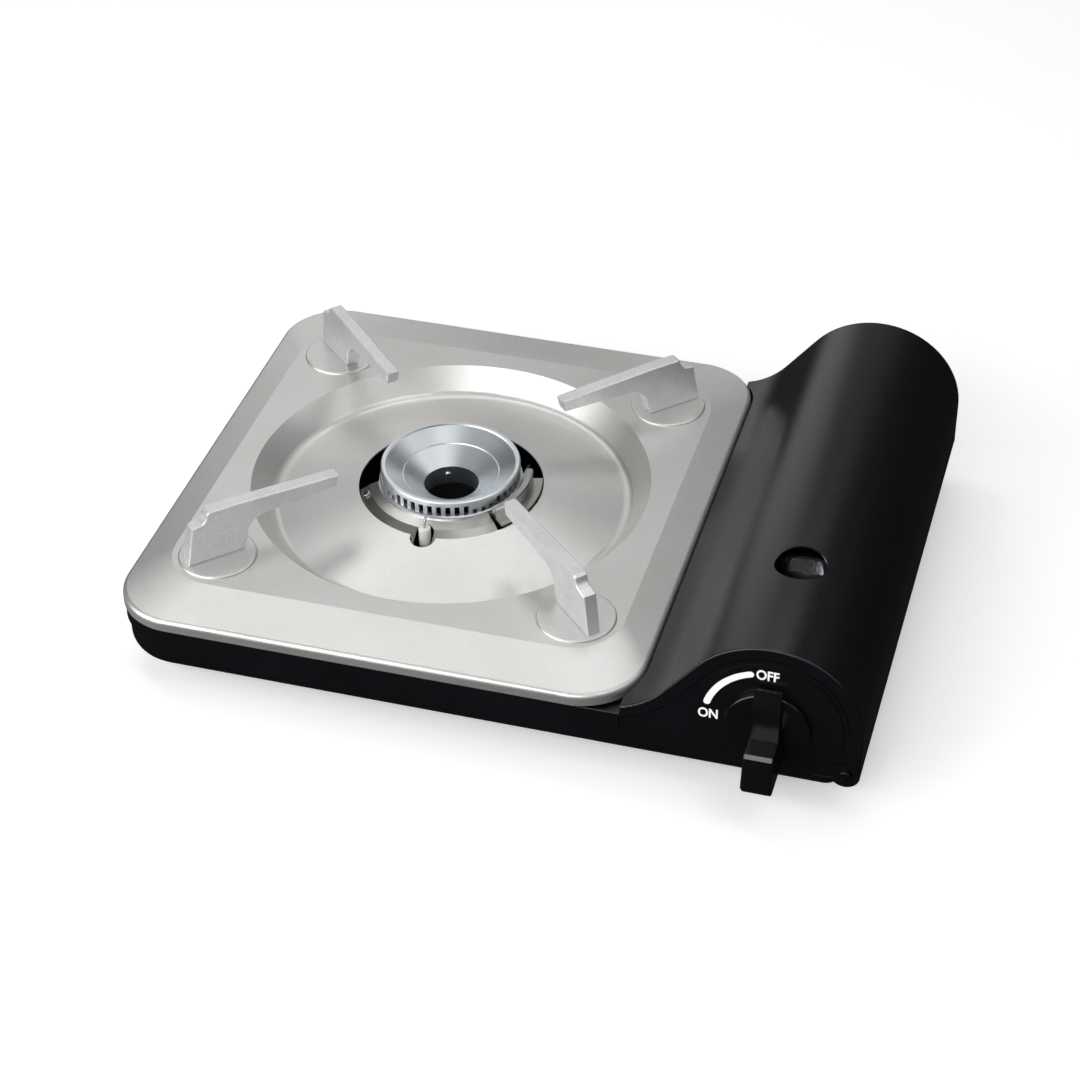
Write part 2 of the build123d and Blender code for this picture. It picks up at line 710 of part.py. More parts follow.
# burner head: turned aluminium cup with a double cone, a bore and a row of flame slots
with BuildPart() as burner_head:
    inner_rim = head_radius - rim_width
    tube_out = bore_radius + head_wall
    burner_ring([
        (head_radius - 0.5, head_top), (head_radius, head_top - 0.5), (head_radius, slot_bottom),
        (head_ring_radius, slot_bottom - 0.4), (head_ring_radius, head_bottom),
        (head_radius - head_wall, head_bottom), (head_radius - head_wall, head_top - 3.2),
        (groove_radius, groove_level - 2.4), (tube_out, bore_level - 1.2), (tube_out, bore_bottom),
        (bore_radius, bore_bottom), (bore_radius, bore_level), (groove_radius - 0.5, groove_level - 0.5),
        (groove_radius, groove_level - 0.5), (groove_radius, groove_level), (inner_rim, head_top - 0.7),
        (inner_rim + 0.3, head_top),
    ])
    for slot in range(slot_count):
        angle = slot * 360 / slot_count
        beside_support = abs((angle % 90) - 45) < 8
        height = short_slot_height if beside_support else slot_height
        with BuildSketch(Plane.XY.offset(slot_bottom)):
            with Locations((burner_x, burner_y)):
                with PolarLocations(head_radius, 1, start_angle=angle):
                    Rectangle(3 * head_wall, slot_width)
        extrude(amount=height, mode=Mode.SUBTRACT)
save(burner_head, "burner_head")

# rivets whose heads show in the bore's wall
with BuildPart() as burner_rivets:
    for bearing in (115, 295):
        toward = (cos(radians(bearing)), sin(radians(bearing)), 0)
        spot = Vector(burner_x, burner_y, 38.0) + Vector(*toward) * sqrt(bore_radius ** 2 - 1.2 ** 2)
        with BuildSketch(Plane(spot, z_dir=-Vector(*toward))):
            Circle(1.2)
        extrude(amount=0.7)
    fillet(burner_rivets.faces().sort_by_distance((burner_x, burner_y, 38.0))[:2].edges(), 0.4)
save(burner_rivets, "burner_rivets")

# burner body: annular mixing chamber with an open bore for air through its middle
casting_top = head_bottom - base_sheet
inner_wall = bore_radius + head_wall + 0.1
with BuildPart() as burner_body:
    burner_ring([
        (casting_radius, casting_bottom), (casting_radius, 36.0), (31.0, 42.0), (31.0, casting_top),
        (28.5, casting_top), (28.5, 42.8), (casting_radius - casting_wall, 37.3),
        (casting_radius - casting_wall, casting_bottom + casting_wall),
        (inner_wall + casting_wall, casting_bottom + casting_wall), (inner_wall + casting_wall, 40.0),
        (inner_wall, 40.0), (inner_wall, casting_bottom),
    ])
tube_heading = degrees(atan2(burner_y - regulator_y, burner_x - tube_bend_x))
tube_toward = Vector(cos(radians(tube_heading)), sin(radians(tube_heading)), 0)
tube_end = Vector(burner_x, burner_y, tube_z) - tube_toward * (casting_radius - 0.8)
with BuildPart() as burner_casting:
    add(burner_body.part)
    with BuildSketch(Plane(Vector(burner_x, burner_y, tube_z) - tube_toward * (casting_radius + 3.0),
                           z_dir=tube_toward)):
        Circle(tube_radius)
    extrude(amount=3.0 + casting_wall + 1.0, mode=Mode.SUBTRACT)
    with Locations((burner_x, burner_y, casting_bottom)):
        with PolarLocations(20.0, 3, start_angle=80):
            Cylinder(1.5, 2 * 1.6, mode=Mode.SUBTRACT)
save(burner_casting, "burner_body")

# burner stand: ring on three legs above the pan's floor
stand_top = casting_bottom
stand_sheet = 1.4
with BuildPart() as burner_stand:
    with BuildSketch(Plane.XY.offset(stand_top - stand_sheet)):
        with Locations((burner_x, burner_y)):
            Circle(casting_radius - 1.2)
            Circle(bore_radius + 1.0, mode=Mode.SUBTRACT)
            with PolarLocations(20.0, 3, start_angle=80):
                Circle(1.6, mode=Mode.SUBTRACT)
    extrude(amount=stand_sheet)
    with BuildSketch(Plane.XY.offset(floor_top)):
        with Locations((burner_x, burner_y)):
            with PolarLocations(22.0, 3, start_angle=20):
                Rectangle(3.4, 10.0)
    extrude(amount=stand_top - stand_sheet - floor_top)
save(burner_stand, "burner_stand")

with BuildPart() as burner_screws:
    for k in range(3):
        bearing = radians(80 + 120 * k)
        spot = (burner_x + 20.0 * cos(bearing), burner_y + 20.0 * sin(bearing), stand_top - stand_sheet)
        with Locations(Location(spot, (180, 0, 0))):
            screw(1.5, 2.6, 1.6, stand_sheet + 1.4)
save(burner_screws, "burner_screws")

# burner base: pressed steel skirt round the front half of the head
base_cut_from = -42
base_cut_to = 200
# one screw stands square on the sloping skirt, at its left
base_screw_radius = 1.0
base_screw_bearing = radians(208.6)
base_screw_reach = 40.25
base_screw_level = head_bottom - 2.9
base_screw_tilt = degrees(atan2(2.2, 3.5))
base_screw_place = Location(
    (burner_x + base_screw_reach * cos(base_screw_bearing), burner_y + base_screw_reach * sin(base_screw_bearing),
     base_screw_level),
    (0, 0, degrees(base_screw_bearing))) * Location((0, 0, 0), (0, base_screw_tilt, 0))
with BuildPart() as burner_base:
    burner_ring([
        (28.8, head_bottom), (head_ring_radius + 0.8, head_bottom), (38.5, head_bottom - 1.8),
        (42.0, head_bottom - 4.0), (base_reach, head_bottom - base_drop),
        (base_reach - 0.5, head_bottom - base_drop - base_sheet), (41.6, head_bottom - 4.0 - base_sheet),
        (38.2, head_bottom - 1.8 - base_sheet), (head_ring_radius + 0.5, casting_top), (28.8, casting_top),
    ])
    # the skirt is open towards the rear, where only the flat ring runs round
    with BuildSketch(Plane.XY.offset(casting_bottom)):
        with BuildLine():
            far = 80.0
            start = (burner_x + far * cos(radians(base_cut_from)), burner_y + far * sin(radians(base_cut_from)))
            middle = (burner_x, burner_y + far)
            stop = (burner_x + far * cos(radians(base_cut_to)), burner_y + far * sin(radians(base_cut_to)))
            Polyline((burner_x, burner_y), start, (start[0], middle[1]), (stop[0], middle[1]), stop, close=True)
        make_face()
        with Locations((burner_x, burner_y)):
            Circle(head_ring_radius + 0.4, mode=Mode.SUBTRACT)
    extrude(amount=overall_height, mode=Mode.SUBTRACT)
    with BuildSketch(Plane.XY.offset(casting_bottom)):
        with Locations((burner_x, burner_y - electrode_reach)):
            Circle(electrode_radius + 1.4)
        with Locations((burner_x, burner_y - base_reach)):
            Rectangle(2 * electrode_radius + 2.8, 2 * (base_reach - electrode_reach))
    extrude(amount=overall_height, mode=Mode.SUBTRACT)
    with Locations(base_screw_place):
        Cylinder(base_screw_radius, 3.0, mode=Mode.SUBTRACT)
save(burner_base, "burner_base")

with BuildPart() as base_screw:
    with Locations(base_screw_place):
        screw(base_screw_radius, 1.9, 1.2, 2.6)
    fillet(base_screw.faces().sort_by(Axis.Z)[-1].edges(), 0.5)
save(base_screw, "base_screw")

# flame guard: two curved steps beside the head, on its right
guard_from = -40
guard_sweep = 56
guard_inner = head_ring_radius + 1.6
guard_outer = guard_inner + 3.5
guard_top = head_top - 4.5
guard_crease = guard_top - 3.3
with BuildPart() as flame_guard:
    burner_ring([(guard_inner, casting_top), (guard_inner, guard_top - 0.6), (guard_inner + 0.4, guard_top),
                 (guard_outer - 0.5, guard_top), (guard_outer, guard_top - 0.6), (guard_outer, guard_crease + 0.3),
                 (guard_outer - 0.5, guard_crease), (guard_outer, guard_crease - 0.3), (guard_outer, casting_top),
                 (guard_outer + 4.5, casting_top), (guard_outer + 4.5, casting_top - 1.2),
                 (guard_inner - 4.0, casting_top - 1.2), (guard_inner - 4.0, casting_top)])
    with BuildSketch(Plane.XY.offset(casting_bottom)):
        with BuildLine():
            guard_start = radians(guard_from)
            guard_stop = radians(guard_from + guard_sweep)
            reach = 60.0
            Polyline((burner_x, burner_y),
                     (burner_x + reach * cos(guard_start), burner_y + reach * sin(guard_start)),
                     (burner_x + reach * 1.3, burner_y + reach * sin((guard_start + guard_stop) / 2)),
                     (burner_x + reach * cos(guard_stop), burner_y + reach * sin(guard_stop)), close=True)
        make_face()
    extrude(amount=overall_height, mode=Mode.INTERSECT)
save(flame_guard, "flame_guard")

# spark electrode: ceramic rod in a bracket on the burner body, with a bent wire at its tip
electrode_y = burner_y - electrode_reach
bracket_top = 33.4
with BuildPart() as electrode_ceramic:
    with Locations((burner_x, electrode_y, electrode_bottom)):
        Cylinder(electrode_radius, electrode_top - electrode_bottom,
                 align=(Align.CENTER, Align.CENTER, Align.MIN))
    fillet(electrode_ceramic.faces().sort_by(Axis.Z)[-1].edges(), 0.5)
    with Locations((burner_x, electrode_y, electrode_top)):
        Hole(spark_wire_radius, depth=8.0)
save(electrode_ceramic, "electrode_ceramic")

with BuildPart() as electrode_wire:
    with BuildLine(side_plane(burner_x)) as wire_path:
        FilletPolyline((electrode_y, electrode_top - 8.0), (electrode_y, electrode_top + 1.6),
                       (electrode_y + 1.0, electrode_top + 3.6), (electrode_y + 3.6, electrode_top + 4.8),
                       radius=[1.6, 1.6])
    with BuildSketch(Plane.XY.offset(electrode_top - 8.0)):
        with Locations((burner_x, electrode_y)):
            Circle(spark_wire_radius)
    sweep()
save(electrode_wire, "electrode_wire")

with BuildPart() as electrode_bracket:
    with BuildSketch(Plane.XY.offset(bracket_top - stand_sheet)):
        with Locations((burner_x, electrode_y)):
            Circle(electrode_radius + 2.0)
        with Locations((burner_x, (electrode_y + burner_y) / 2)):
            Rectangle(7.0, electrode_reach)
        with Locations((burner_x, burner_y)):
            Circle(casting_radius, mode=Mode.SUBTRACT)
            with Locations((0, casting_radius / 2 + 1)):
                Rectangle(12.0, casting_radius * 2, mode=Mode.SUBTRACT)
        with Locations((burner_x, electrode_y)):
            Circle(electrode_radius, mode=Mode.SUBTRACT)
    extrude(amount=stand_sheet)
save(electrode_bracket, "electrode_bracket")

# heat panel: strip from beside the burner, along the floor, to a cradle under the canister
cradle_inner = canister_radius + saddle_gap
cradle_from = 236.0
cradle_sweep = 60.0
with BuildPart() as heat_panel:
    strip_start = burner_x + casting_radius + 3.0
    strip_end = canister_x + cradle_inner * cos(radians(cradle_from))
    with Locations((strip_start, strip_front + strip_width / 2, strip_bottom)):
        Box(strip_end - strip_start, strip_width, strip_sheet, align=(Align.MIN, Align.CENTER, Align.MIN))
        Box(strip_sheet, strip_width, 24.0, align=(Align.MIN, Align.CENTER, Align.MIN))
    with BuildSketch(front_plane(strip_front)):
        with BuildLine():
            inner = CenterArc((canister_x, canister_z), cradle_inner, cradle_from, cradle_sweep)
            outer = CenterArc((canister_x, canister_z), cradle_inner + 0.8, cradle_from, cradle_sweep)
            Line(inner @ 0, outer @ 0)
            Line(inner @ 1, outer @ 1)
        make_face()
    extrude(amount=-strip_width)
    with BuildSketch(front_plane(strip_front)):
        with BuildLine():
            rise = cradle_inner * sin(radians(cradle_from)) + canister_z
            Polyline((strip_end - 6.0, strip_bottom), (strip_end + 1.0, strip_bottom), (strip_end + 0.6, rise),
                     (strip_end - 0.8, rise), close=True)
        make_face()
    extrude(amount=-strip_width)
save(heat_panel, "heat_panel")

# canister saddles: two upright sheets with a round cut-out
saddle_left = canister_x - 31.0
saddle_right = pan_right - pan_round - 0.6
saddle_top = canister_z - 20.0
with BuildPart() as canister_saddles:
    for saddle_y in (-26.0, 92.0):
        with BuildSketch(front_plane(saddle_y)):
            with BuildLine():
                Polyline((saddle_left, floor_top), (saddle_right, floor_top), (saddle_right, saddle_top),
                         (saddle_left, saddle_top), close=True)
            make_face()
            with Locations((canister_x, canister_z)):
                Circle(cradle_inner, mode=Mode.SUBTRACT)
        extrude(amount=-1.5)
        with Locations((canister_x, saddle_y, floor_top)):
            Box(30.0, 6.0, plate_sheet, align=(Align.CENTER, Align.MIN, Align.MIN))
save(canister_saddles, "canister_saddles")

# ================================================================ GAS TRAIN
nozzle_x = canister_x - 24.0
outlet_x = canister_x - 12.0
with BuildPart() as mixing_tube:
    with BuildLine() as tube_path:
        FilletPolyline((tube_start_x, regulator_y, tube_z), (tube_bend_x, regulator_y, tube_z), tube_end,
                       radius=[tube_bend_radius])
    with BuildSketch(side_plane(tube_start_x)):
        with Locations((regulator_y, tube_z)):
            Circle(tube_radius)
            Circle(tube_radius - tube_wall, mode=Mode.SUBTRACT)
    sweep()
save(mixing_tube, "mixing_tube")

with BuildPart() as air_shutter:
    with BuildSketch(side_plane(tube_start_x)):
        with Locations((regulator_y, tube_z)):
            Circle(tube_radius + 1.0)
            Circle(tube_radius - tube_wall, mode=Mode.SUBTRACT)
    extrude(amount=7.0)
    with BuildSketch(side_plane(tube_start_x + 7.0)):
        with Locations((regulator_y, tube_z)):
            Circle(tube_radius + 1.0)
            Circle(2.4, mode=Mode.SUBTRACT)
    extrude(amount=1.2)
    # air windows round the collar
    with Locations((tube_start_x + 3.5, regulator_y, tube_z)):
        Box(4.0, 7.0, 4 * tube_radius, mode=Mode.SUBTRACT)
save(air_shutter, "air_shutter")

with BuildPart() as gas_nozzle:
    nozzle_length = outlet_x - 7.0 - (tube_start_x + 7.0)
    with BuildSketch(side_plane(outlet_x - 7.0)):
        with Locations((regulator_y, tube_z)):
            RegularPolygon(3.6, 6)
    extrude(amount=-(nozzle_length - 3.6))
    with BuildSketch(side_plane(outlet_x - 7.0)):
        with Locations((regulator_y, tube_z)):
            Circle(2.4)
    extrude(amount=-nozzle_length)
    with BuildSketch(side_plane(outlet_x - 7.0)):
        with Locations((regulator_y, tube_z)):
            Circle(0.6)
    extrude(amount=-nozzle_length, mode=Mode.SUBTRACT)
save(gas_nozzle, "gas_nozzle")

diaphragm_z = canister_z + regulator_radius + 0.6
cap_y = -87.5
diaphragm_sheet = 0.6
cap_radius = 14.0
cap_height = 7.0
spindle_end = -99.0
socket_end = canister_tip_y - 1.0
barrel_front = -108.5
with BuildPart() as regulator_body:
    with BuildSketch(front_plane(regulator_front)):
        with Locations((canister_x, canister_z)):
            Circle(regulator_radius)
    extrude(amount=-(regulator_rear - regulator_front))
    # seat of the diaphragm, outlet column, control barrel and canister socket
    with Locations((canister_x, cap_y, canister_z)):
        Cylinder(cap_radius, diaphragm_z - canister_z, align=(Align.CENTER, Align.CENTER, Align.MIN))
    with Locations((outlet_x, regulator_y, tube_z - 7.0)):
        Cylinder(7.0, canister_z - tube_z, align=(Align.CENTER, Align.CENTER, Align.MIN))
    with BuildSketch(front_plane(regulator_front)):
        with Locations((knob_x, knob_z)):
            Circle(9.0)
    extrude(amount=regulator_front - barrel_front)
    with BuildSketch(front_plane(regulator_rear)):
        with Locations((canister_x, canister_z)):
            Circle(5.5)
    extrude(amount=-(socket_end - regulator_rear))
    with BuildSketch(front_plane(barrel_front)):
        with Locations((knob_x, knob_z)):
            Circle(spindle_radius + pivot_gap)
    extrude(amount=-(spindle_end + 0.4 - barrel_front), mode=Mode.SUBTRACT)
    with BuildSketch(front_plane(socket_end)):
        with Locations((canister_x, canister_z)):
            Circle(stem_radius + pivot_gap)
    extrude(amount=8.0, mode=Mode.SUBTRACT)
    with Locations((canister_x, cap_y, diaphragm_z)):
        Hole(9.0, depth=3.0)
        with PolarLocations(11.5, 4, start_angle=45):
            Hole(1.2, depth=5.0)
save(regulator_body, "regulator_body")

with BuildPart() as diaphragm:
    with Locations((canister_x, cap_y, diaphragm_z)):
        Cylinder(cap_radius, diaphragm_sheet, align=(Align.CENTER, Align.CENTER, Align.MIN))
        with PolarLocations(11.5, 4, start_angle=45):
            Hole(1.2, depth=2.0)
save(diaphragm, "diaphragm")

cap_base = diaphragm_z + diaphragm_sheet
with BuildPart() as regulator_cap:
    with Locations((canister_x, cap_y, cap_base)):
        Cylinder(cap_radius, 1.4, align=(Align.CENTER, Align.CENTER, Align.MIN))
        Cylinder(8.6, cap_height, align=(Align.CENTER, Align.CENTER, Align.MIN))
        Cylinder(7.4, cap_height - 1.2, align=(Align.CENTER, Align.CENTER, Align.MIN), mode=Mode.SUBTRACT)
    with Locations((canister_x, cap_y, cap_base + 1.4)):
        with PolarLocations(11.5, 4, start_angle=45):
            Hole(1.2, depth=3.0)
save(regulator_cap, "regulator_cap")

with BuildPart() as regulator_screws:
    for k in range(4):
        bearing = radians(45 + 90 * k)
        with Locations((canister_x + 11.5 * cos(bearing), cap_y + 11.5 * sin(bearing), cap_base + 1.4)):
            screw(1.2, 2.1, 1.3, 5.5)
save(regulator_screws, "regulator_screws")

with BuildPart() as regulator_spring:
    spring_height = cap_height - 1.2 - 1.4
    with BuildLine(Plane((canister_x, cap_y, cap_base + 0.7))) as spring_path:
        Helix(pitch=spring_height / 3.0, height=spring_height, radius=4.5)
    with BuildSketch(Plane(spring_path.line @ 0, z_dir=spring_path.line % 0)):
        Circle(0.5)
    sweep()
save(regulator_spring, "regulator_spring")

# magnet holder behind the canister's socket, with two magnets that hold the canister's collar
holder_sheet = 1.4
magnet_radius = 3.4
magnet_circle = 11.5
magnet_face = canister_tip_y - touch_gap
with BuildPart() as magnet_holder:
    with BuildSketch(front_plane(regulator_rear)):
        with Locations((canister_x, canister_z)):
            Circle(regulator_radius + 0.5)
            Circle(5.5 + 0.2, mode=Mode.SUBTRACT)
    extrude(amount=-holder_sheet)
save(magnet_holder, "magnet_holder")

with BuildPart() as magnets:
    with BuildSketch(front_plane(regulator_rear + holder_sheet)):
        with Locations((canister_x - magnet_circle, canister_z), (canister_x + magnet_circle, canister_z)):
            Circle(magnet_radius)
    extrude(amount=-(magnet_face - regulator_rear - holder_sheet))
save(magnets, "magnets")

# ================================================================ KNOB
knob_disc_front = body_front - dial_thickness - knob_gap - knob_disc_thickness
cam_front = -113.0
cam_rear = -109.5
cam_low = 7.0
piezo_gap = 0.5
with BuildPart() as control_knob:
    with BuildSketch(front_plane(body_front - dial_thickness - knob_gap)):
        with Locations((knob_x, knob_z)):
            Circle(knob_disc_radius)
    extrude(amount=knob_disc_thickness)
    fillet(control_knob.faces().sort_by(Axis.Y)[0].edges(), 0.9)
    # finger grip: sloped top and upright middle
    with BuildSketch(side_plane(knob_x)):
        with BuildLine():
            grip_front = knob_disc_front - 4.5
            grip_back = knob_disc_front + 1.0
            grip_foot = knob_z - knob_grip_bottom + 3.0
            Polyline((grip_back, knob_z + knob_grip_top), (knob_disc_front - 0.4, knob_z + knob_grip_top),
                     (grip_front + 1.1, knob_z + 13.2), (grip_front, knob_z + knob_block_top),
                     (grip_front, grip_foot), (grip_back, grip_foot), close=True)
        make_face()
    extrude(amount=knob_grip_width / 2, both=True)
    # the block that the finger turns stands out at the bottom
    with BuildSketch(side_plane(knob_x)):
        with BuildLine():
            block_level = knob_z + knob_block_top
            Polyline((grip_back, block_level), (front_y + 4.9, block_level), (front_y + 3.5, block_level - 1.4),
                     (front_y, knob_z - knob_nose_drop), (front_y + 2.6, knob_z - knob_grip_bottom),
                     (grip_back, knob_z - knob_grip_bottom), close=True)
        make_face()
    extrude(amount=knob_block_width / 2, both=True)
    block_sides = control_knob.faces().filter_by(Axis.X).sort_by(Axis.X)
    for block_side in (block_sides[0], block_sides[-1]):
        fillet(block_side.edges().filter_by(lambda e: e.center().Y < knob_disc_front - 0.5), 1.2)
    with BuildSketch(front_plane(body_front - dial_thickness - knob_gap)):
        with Locations((knob_x, knob_z)):
            Circle(spindle_radius)
    extrude(amount=spindle_grip, mode=Mode.SUBTRACT)
save(control_knob, "control_knob")

with BuildPart() as knob_spindle:
    with BuildSketch(front_plane(body_front - dial_thickness - knob_gap - spindle_grip)):
        with Locations((knob_x, knob_z)):
            Circle(spindle_radius)
    extrude(amount=-(spindle_end - body_front + dial_thickness + knob_gap + spindle_grip))
save(knob_spindle, "knob_spindle")

# cam: its radius grows evenly over a quarter turn and pushes the igniter's plunger
with BuildPart() as knob_cam:
    with BuildSketch(front_plane(cam_front)):
        with BuildLine():
            steps = [180 - 15 * k for k in range(7)]
            spiral = [
                (knob_x + (cam_low + piezo_travel * (180 - a) / knob_turn) * cos(radians(a)),
                 knob_z + (cam_low + piezo_travel * (180 - a) / knob_turn) * sin(radians(a)))
                for a in steps
            ]
            Spline(*spiral)
            CenterArc((knob_x, knob_z), cam_low, 180, 180)
            Polyline((knob_x + cam_low, knob_z), (knob_x + cam_low, knob_z + 5.0), spiral[-1])
        make_face()
        with Locations((knob_x, knob_z)):
            Circle(spindle_radius, mode=Mode.SUBTRACT)
    extrude(amount=-(cam_rear - cam_front))
save(knob_cam, "knob_cam")

with BuildPart() as knob_clip:
    with BuildSketch(front_plane(body_front + body_sheet + touch_gap)):
        with Locations((knob_x, knob_z)):
            Circle(spindle_radius + 2.8)
            Circle(spindle_radius, mode=Mode.SUBTRACT)
            with Locations((0, -spindle_radius - 1.0)):
                Rectangle(4.0, 6.0, mode=Mode.SUBTRACT)
    extrude(amount=-0.8)
save(knob_clip, "knob_clip")

# piezo igniter beside the spindle: housing, plunger and the lead to the electrode
piezo_right = knob_x - 17.3
piezo_length = 20.0
piezo_height = 13.0
plunger_radius = 2.2
plunger_y = (cam_front + cam_rear) / 2
piezo_width = 2 * (plunger_y - body_front - body_sheet)
with BuildPart() as piezo_housing:
    with Locations((piezo_right - piezo_length / 2, plunger_y, knob_z)):
        Box(piezo_length, piezo_width, piezo_height)
    fillet(piezo_housing.edges().filter_by(Axis.X), 1.5)
    with BuildSketch(side_plane(piezo_right)):
        with Locations((plunger_y, knob_z)):
            Circle(plunger_radius + pivot_gap)
    extrude(amount=-16.0, mode=Mode.SUBTRACT)
save(piezo_housing, "piezo_housing")

with BuildPart() as piezo_plunger:
    with BuildSketch(side_plane(piezo_right - 10.0)):
        with Locations((plunger_y, knob_z)):
            Circle(plunger_radius)
    extrude(amount=knob_x - cam_low - piezo_gap - piezo_right + 10.0)
    fillet(piezo_plunger.faces().sort_by(Axis.X)[-1].edges(), 1.6)
save(piezo_plunger, "piezo_plunger")

lead_start_x = knob_x - 32.3
with BuildPart() as ignition_lead:
    with BuildLine() as lead_path:
        lead_points = [
            (lead_start_x, plunger_y, knob_z - piezo_height / 2),
            (lead_start_x, plunger_y, lead_z),
            (canister_x - 50.0, lead_y, lead_z),
            (bar_left + 4.0, lead_y, lead_z),
            (10.0, -88.0, 19.0),
            (-38.0, -60.0, 19.0),
            (burner_x, electrode_y - 8.0, 20.0),
            (burner_x, electrode_y, electrode_bottom - 7.0),
            (burner_x, electrode_y, electrode_bottom),
        ]
        FilletPolyline(*lead_points, radius=[6.0, 6.0, 8.0, 20.0, 20.0, 8.0, 4.0])
    with BuildSketch(Plane(lead_points[0], z_dir=(0, 0, -1))):
        Circle(lead_radius)
    sweep()
save(ignition_lead, "ignition_lead")

# ================================================================ CANISTER
canister_end_y = canister_tip_y + canister_length
canister_axis = Axis((canister_x, 0, canister_z), (0, 1, 0))


def canister_ring(points):
    """Turn an outline of (radius, y) points round the canister's axis."""
    with BuildSketch(Plane.XY.offset(canister_z)) as section:
        with BuildLine() as outline:
            Polyline(*[(canister_x + r, y) for r, y in points], close=True)
        make_face(outline.edges())
    revolve(section.sketch, axis=canister_axis)


rim_depth = 2.0
inside = canister_radius - canister_wall
with BuildPart() as canister_body:
    canister_ring([(canister_radius, canister_seam_y + rim_depth), (canister_radius, canister_end_y - rim_depth),
                   (inside, canister_end_y - rim_depth), (inside, canister_seam_y + rim_depth)])
save(canister_body, "canister_body")

collar_base_y = canister_tip_y + 9.0
with BuildPart() as canister_dome:
    canister_ring([(canister_radius + seam_bead, canister_seam_y), (canister_radius + seam_bead, canister_seam_y + rim_depth),
                   (inside - canister_wall, canister_seam_y + rim_depth),
                   (inside - canister_wall, canister_seam_y + 0.8), (28.5, canister_seam_y - 3.4),
                   (22.0, canister_seam_y - 7.0), (collar_radius, collar_base_y + 0.8),
                   (collar_radius, collar_base_y), (22.4, canister_seam_y - 8.0), (29.0, canister_seam_y - 4.4),
                   (canister_radius - 0.6, canister_seam_y)])
save(canister_dome, "canister_dome")

with BuildPart() as canister_collar:
    canister_ring([(collar_radius, canister_tip_y + 0.6), (collar_radius, collar_base_y + 0.8),
                   (collar_radius - 1.0, collar_base_y + 0.8), (collar_radius - 1.0, canister_tip_y + 3.0),
                   (stem_radius + 3.5, canister_tip_y + 3.0), (stem_radius + 3.5, collar_base_y),
                   (stem_radius + pivot_gap, collar_base_y), (stem_radius + pivot_gap, canister_tip_y),
                   (collar_radius - 0.6, canister_tip_y)])
save(canister_collar, "canister_collar")

with BuildPart() as canister_base:
    canister_ring([(0, canister_end_y - 7.0), (20.0, canister_end_y - 6.0), (inside - canister_wall, canister_end_y - 2.6),
                   (inside - canister_wall, canister_end_y - rim_depth),
                   (canister_radius + seam_bead, canister_end_y - rim_depth),
                   (canister_radius + seam_bead, canister_end_y), (canister_radius - 1.4, canister_end_y),
                   (20.0, canister_end_y - 5.2), (0, canister_end_y - 6.2)])
save(canister_base, "canister_base")

# valve stem: pressed home while the canister is held in the socket
with BuildPart() as valve_stem:
    with BuildSketch(front_plane(socket_end - 4.0)):
        with Locations((canister_x, canister_z)):
            Circle(stem_radius)
    extrude(amount=-(collar_base_y + 2.0 - socket_end + 4.0))
save(valve_stem, "valve_stem")
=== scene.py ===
import json
import logging
import math
from dataclasses import dataclass
from enum import Enum
from typing import Optional

import bmesh
import bpy
from mathutils import Matrix, Vector


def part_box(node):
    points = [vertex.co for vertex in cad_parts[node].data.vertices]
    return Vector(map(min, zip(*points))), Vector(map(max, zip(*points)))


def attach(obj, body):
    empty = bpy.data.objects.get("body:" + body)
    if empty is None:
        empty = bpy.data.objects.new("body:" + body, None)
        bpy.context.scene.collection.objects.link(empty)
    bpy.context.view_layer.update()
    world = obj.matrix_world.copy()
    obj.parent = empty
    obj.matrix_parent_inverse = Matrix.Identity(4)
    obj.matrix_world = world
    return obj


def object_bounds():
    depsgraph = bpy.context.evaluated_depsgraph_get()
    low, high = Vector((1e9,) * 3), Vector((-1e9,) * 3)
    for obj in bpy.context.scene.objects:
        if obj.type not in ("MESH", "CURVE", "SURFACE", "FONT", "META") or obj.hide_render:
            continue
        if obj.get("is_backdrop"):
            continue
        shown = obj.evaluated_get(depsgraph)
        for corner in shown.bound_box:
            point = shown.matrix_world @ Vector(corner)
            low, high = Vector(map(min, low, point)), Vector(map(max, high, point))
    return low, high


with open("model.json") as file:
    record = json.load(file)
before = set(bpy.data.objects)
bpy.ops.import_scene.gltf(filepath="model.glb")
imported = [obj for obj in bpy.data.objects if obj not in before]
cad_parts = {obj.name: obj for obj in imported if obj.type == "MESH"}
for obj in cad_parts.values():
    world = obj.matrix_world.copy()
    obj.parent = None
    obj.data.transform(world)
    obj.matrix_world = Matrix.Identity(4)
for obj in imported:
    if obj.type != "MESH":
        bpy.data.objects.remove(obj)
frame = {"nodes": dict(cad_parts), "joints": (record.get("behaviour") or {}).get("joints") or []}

LOG = logging.getLogger("camping_stove")
MM = 0.001
# Noise values mostly lie between these two, so a swing is spread over them.
NOISE_LOW = 0.3
NOISE_HIGH = 0.7
# Where the colour starts to turn to its shade, and where it has turned.
SHADE_START = 0.35
SHADE_END = 0.7
# Cells under this share of the random values hold no flake.
FLAKELESS_SHARE = 0.35


def linear(hex_colour: str) -> tuple[float, float, float, float]:
    """Turn an sRGB hex colour into a linear colour with full opacity.

    Args:
        hex_colour: Six hex digits after a hash sign.

    Returns:
        Linear red, green, blue and an alpha of one.
    """
    digits = hex_colour.lstrip("#")
    shares = [int(digits[i : i + 2], 16) / 255 for i in (0, 2, 4)]
    red, green, blue = [
        s / 12.92 if s <= 0.04045 else ((s + 0.055) / 1.055) ** 2.4 for s in shares
    ]
    return red, green, blue, 1.0


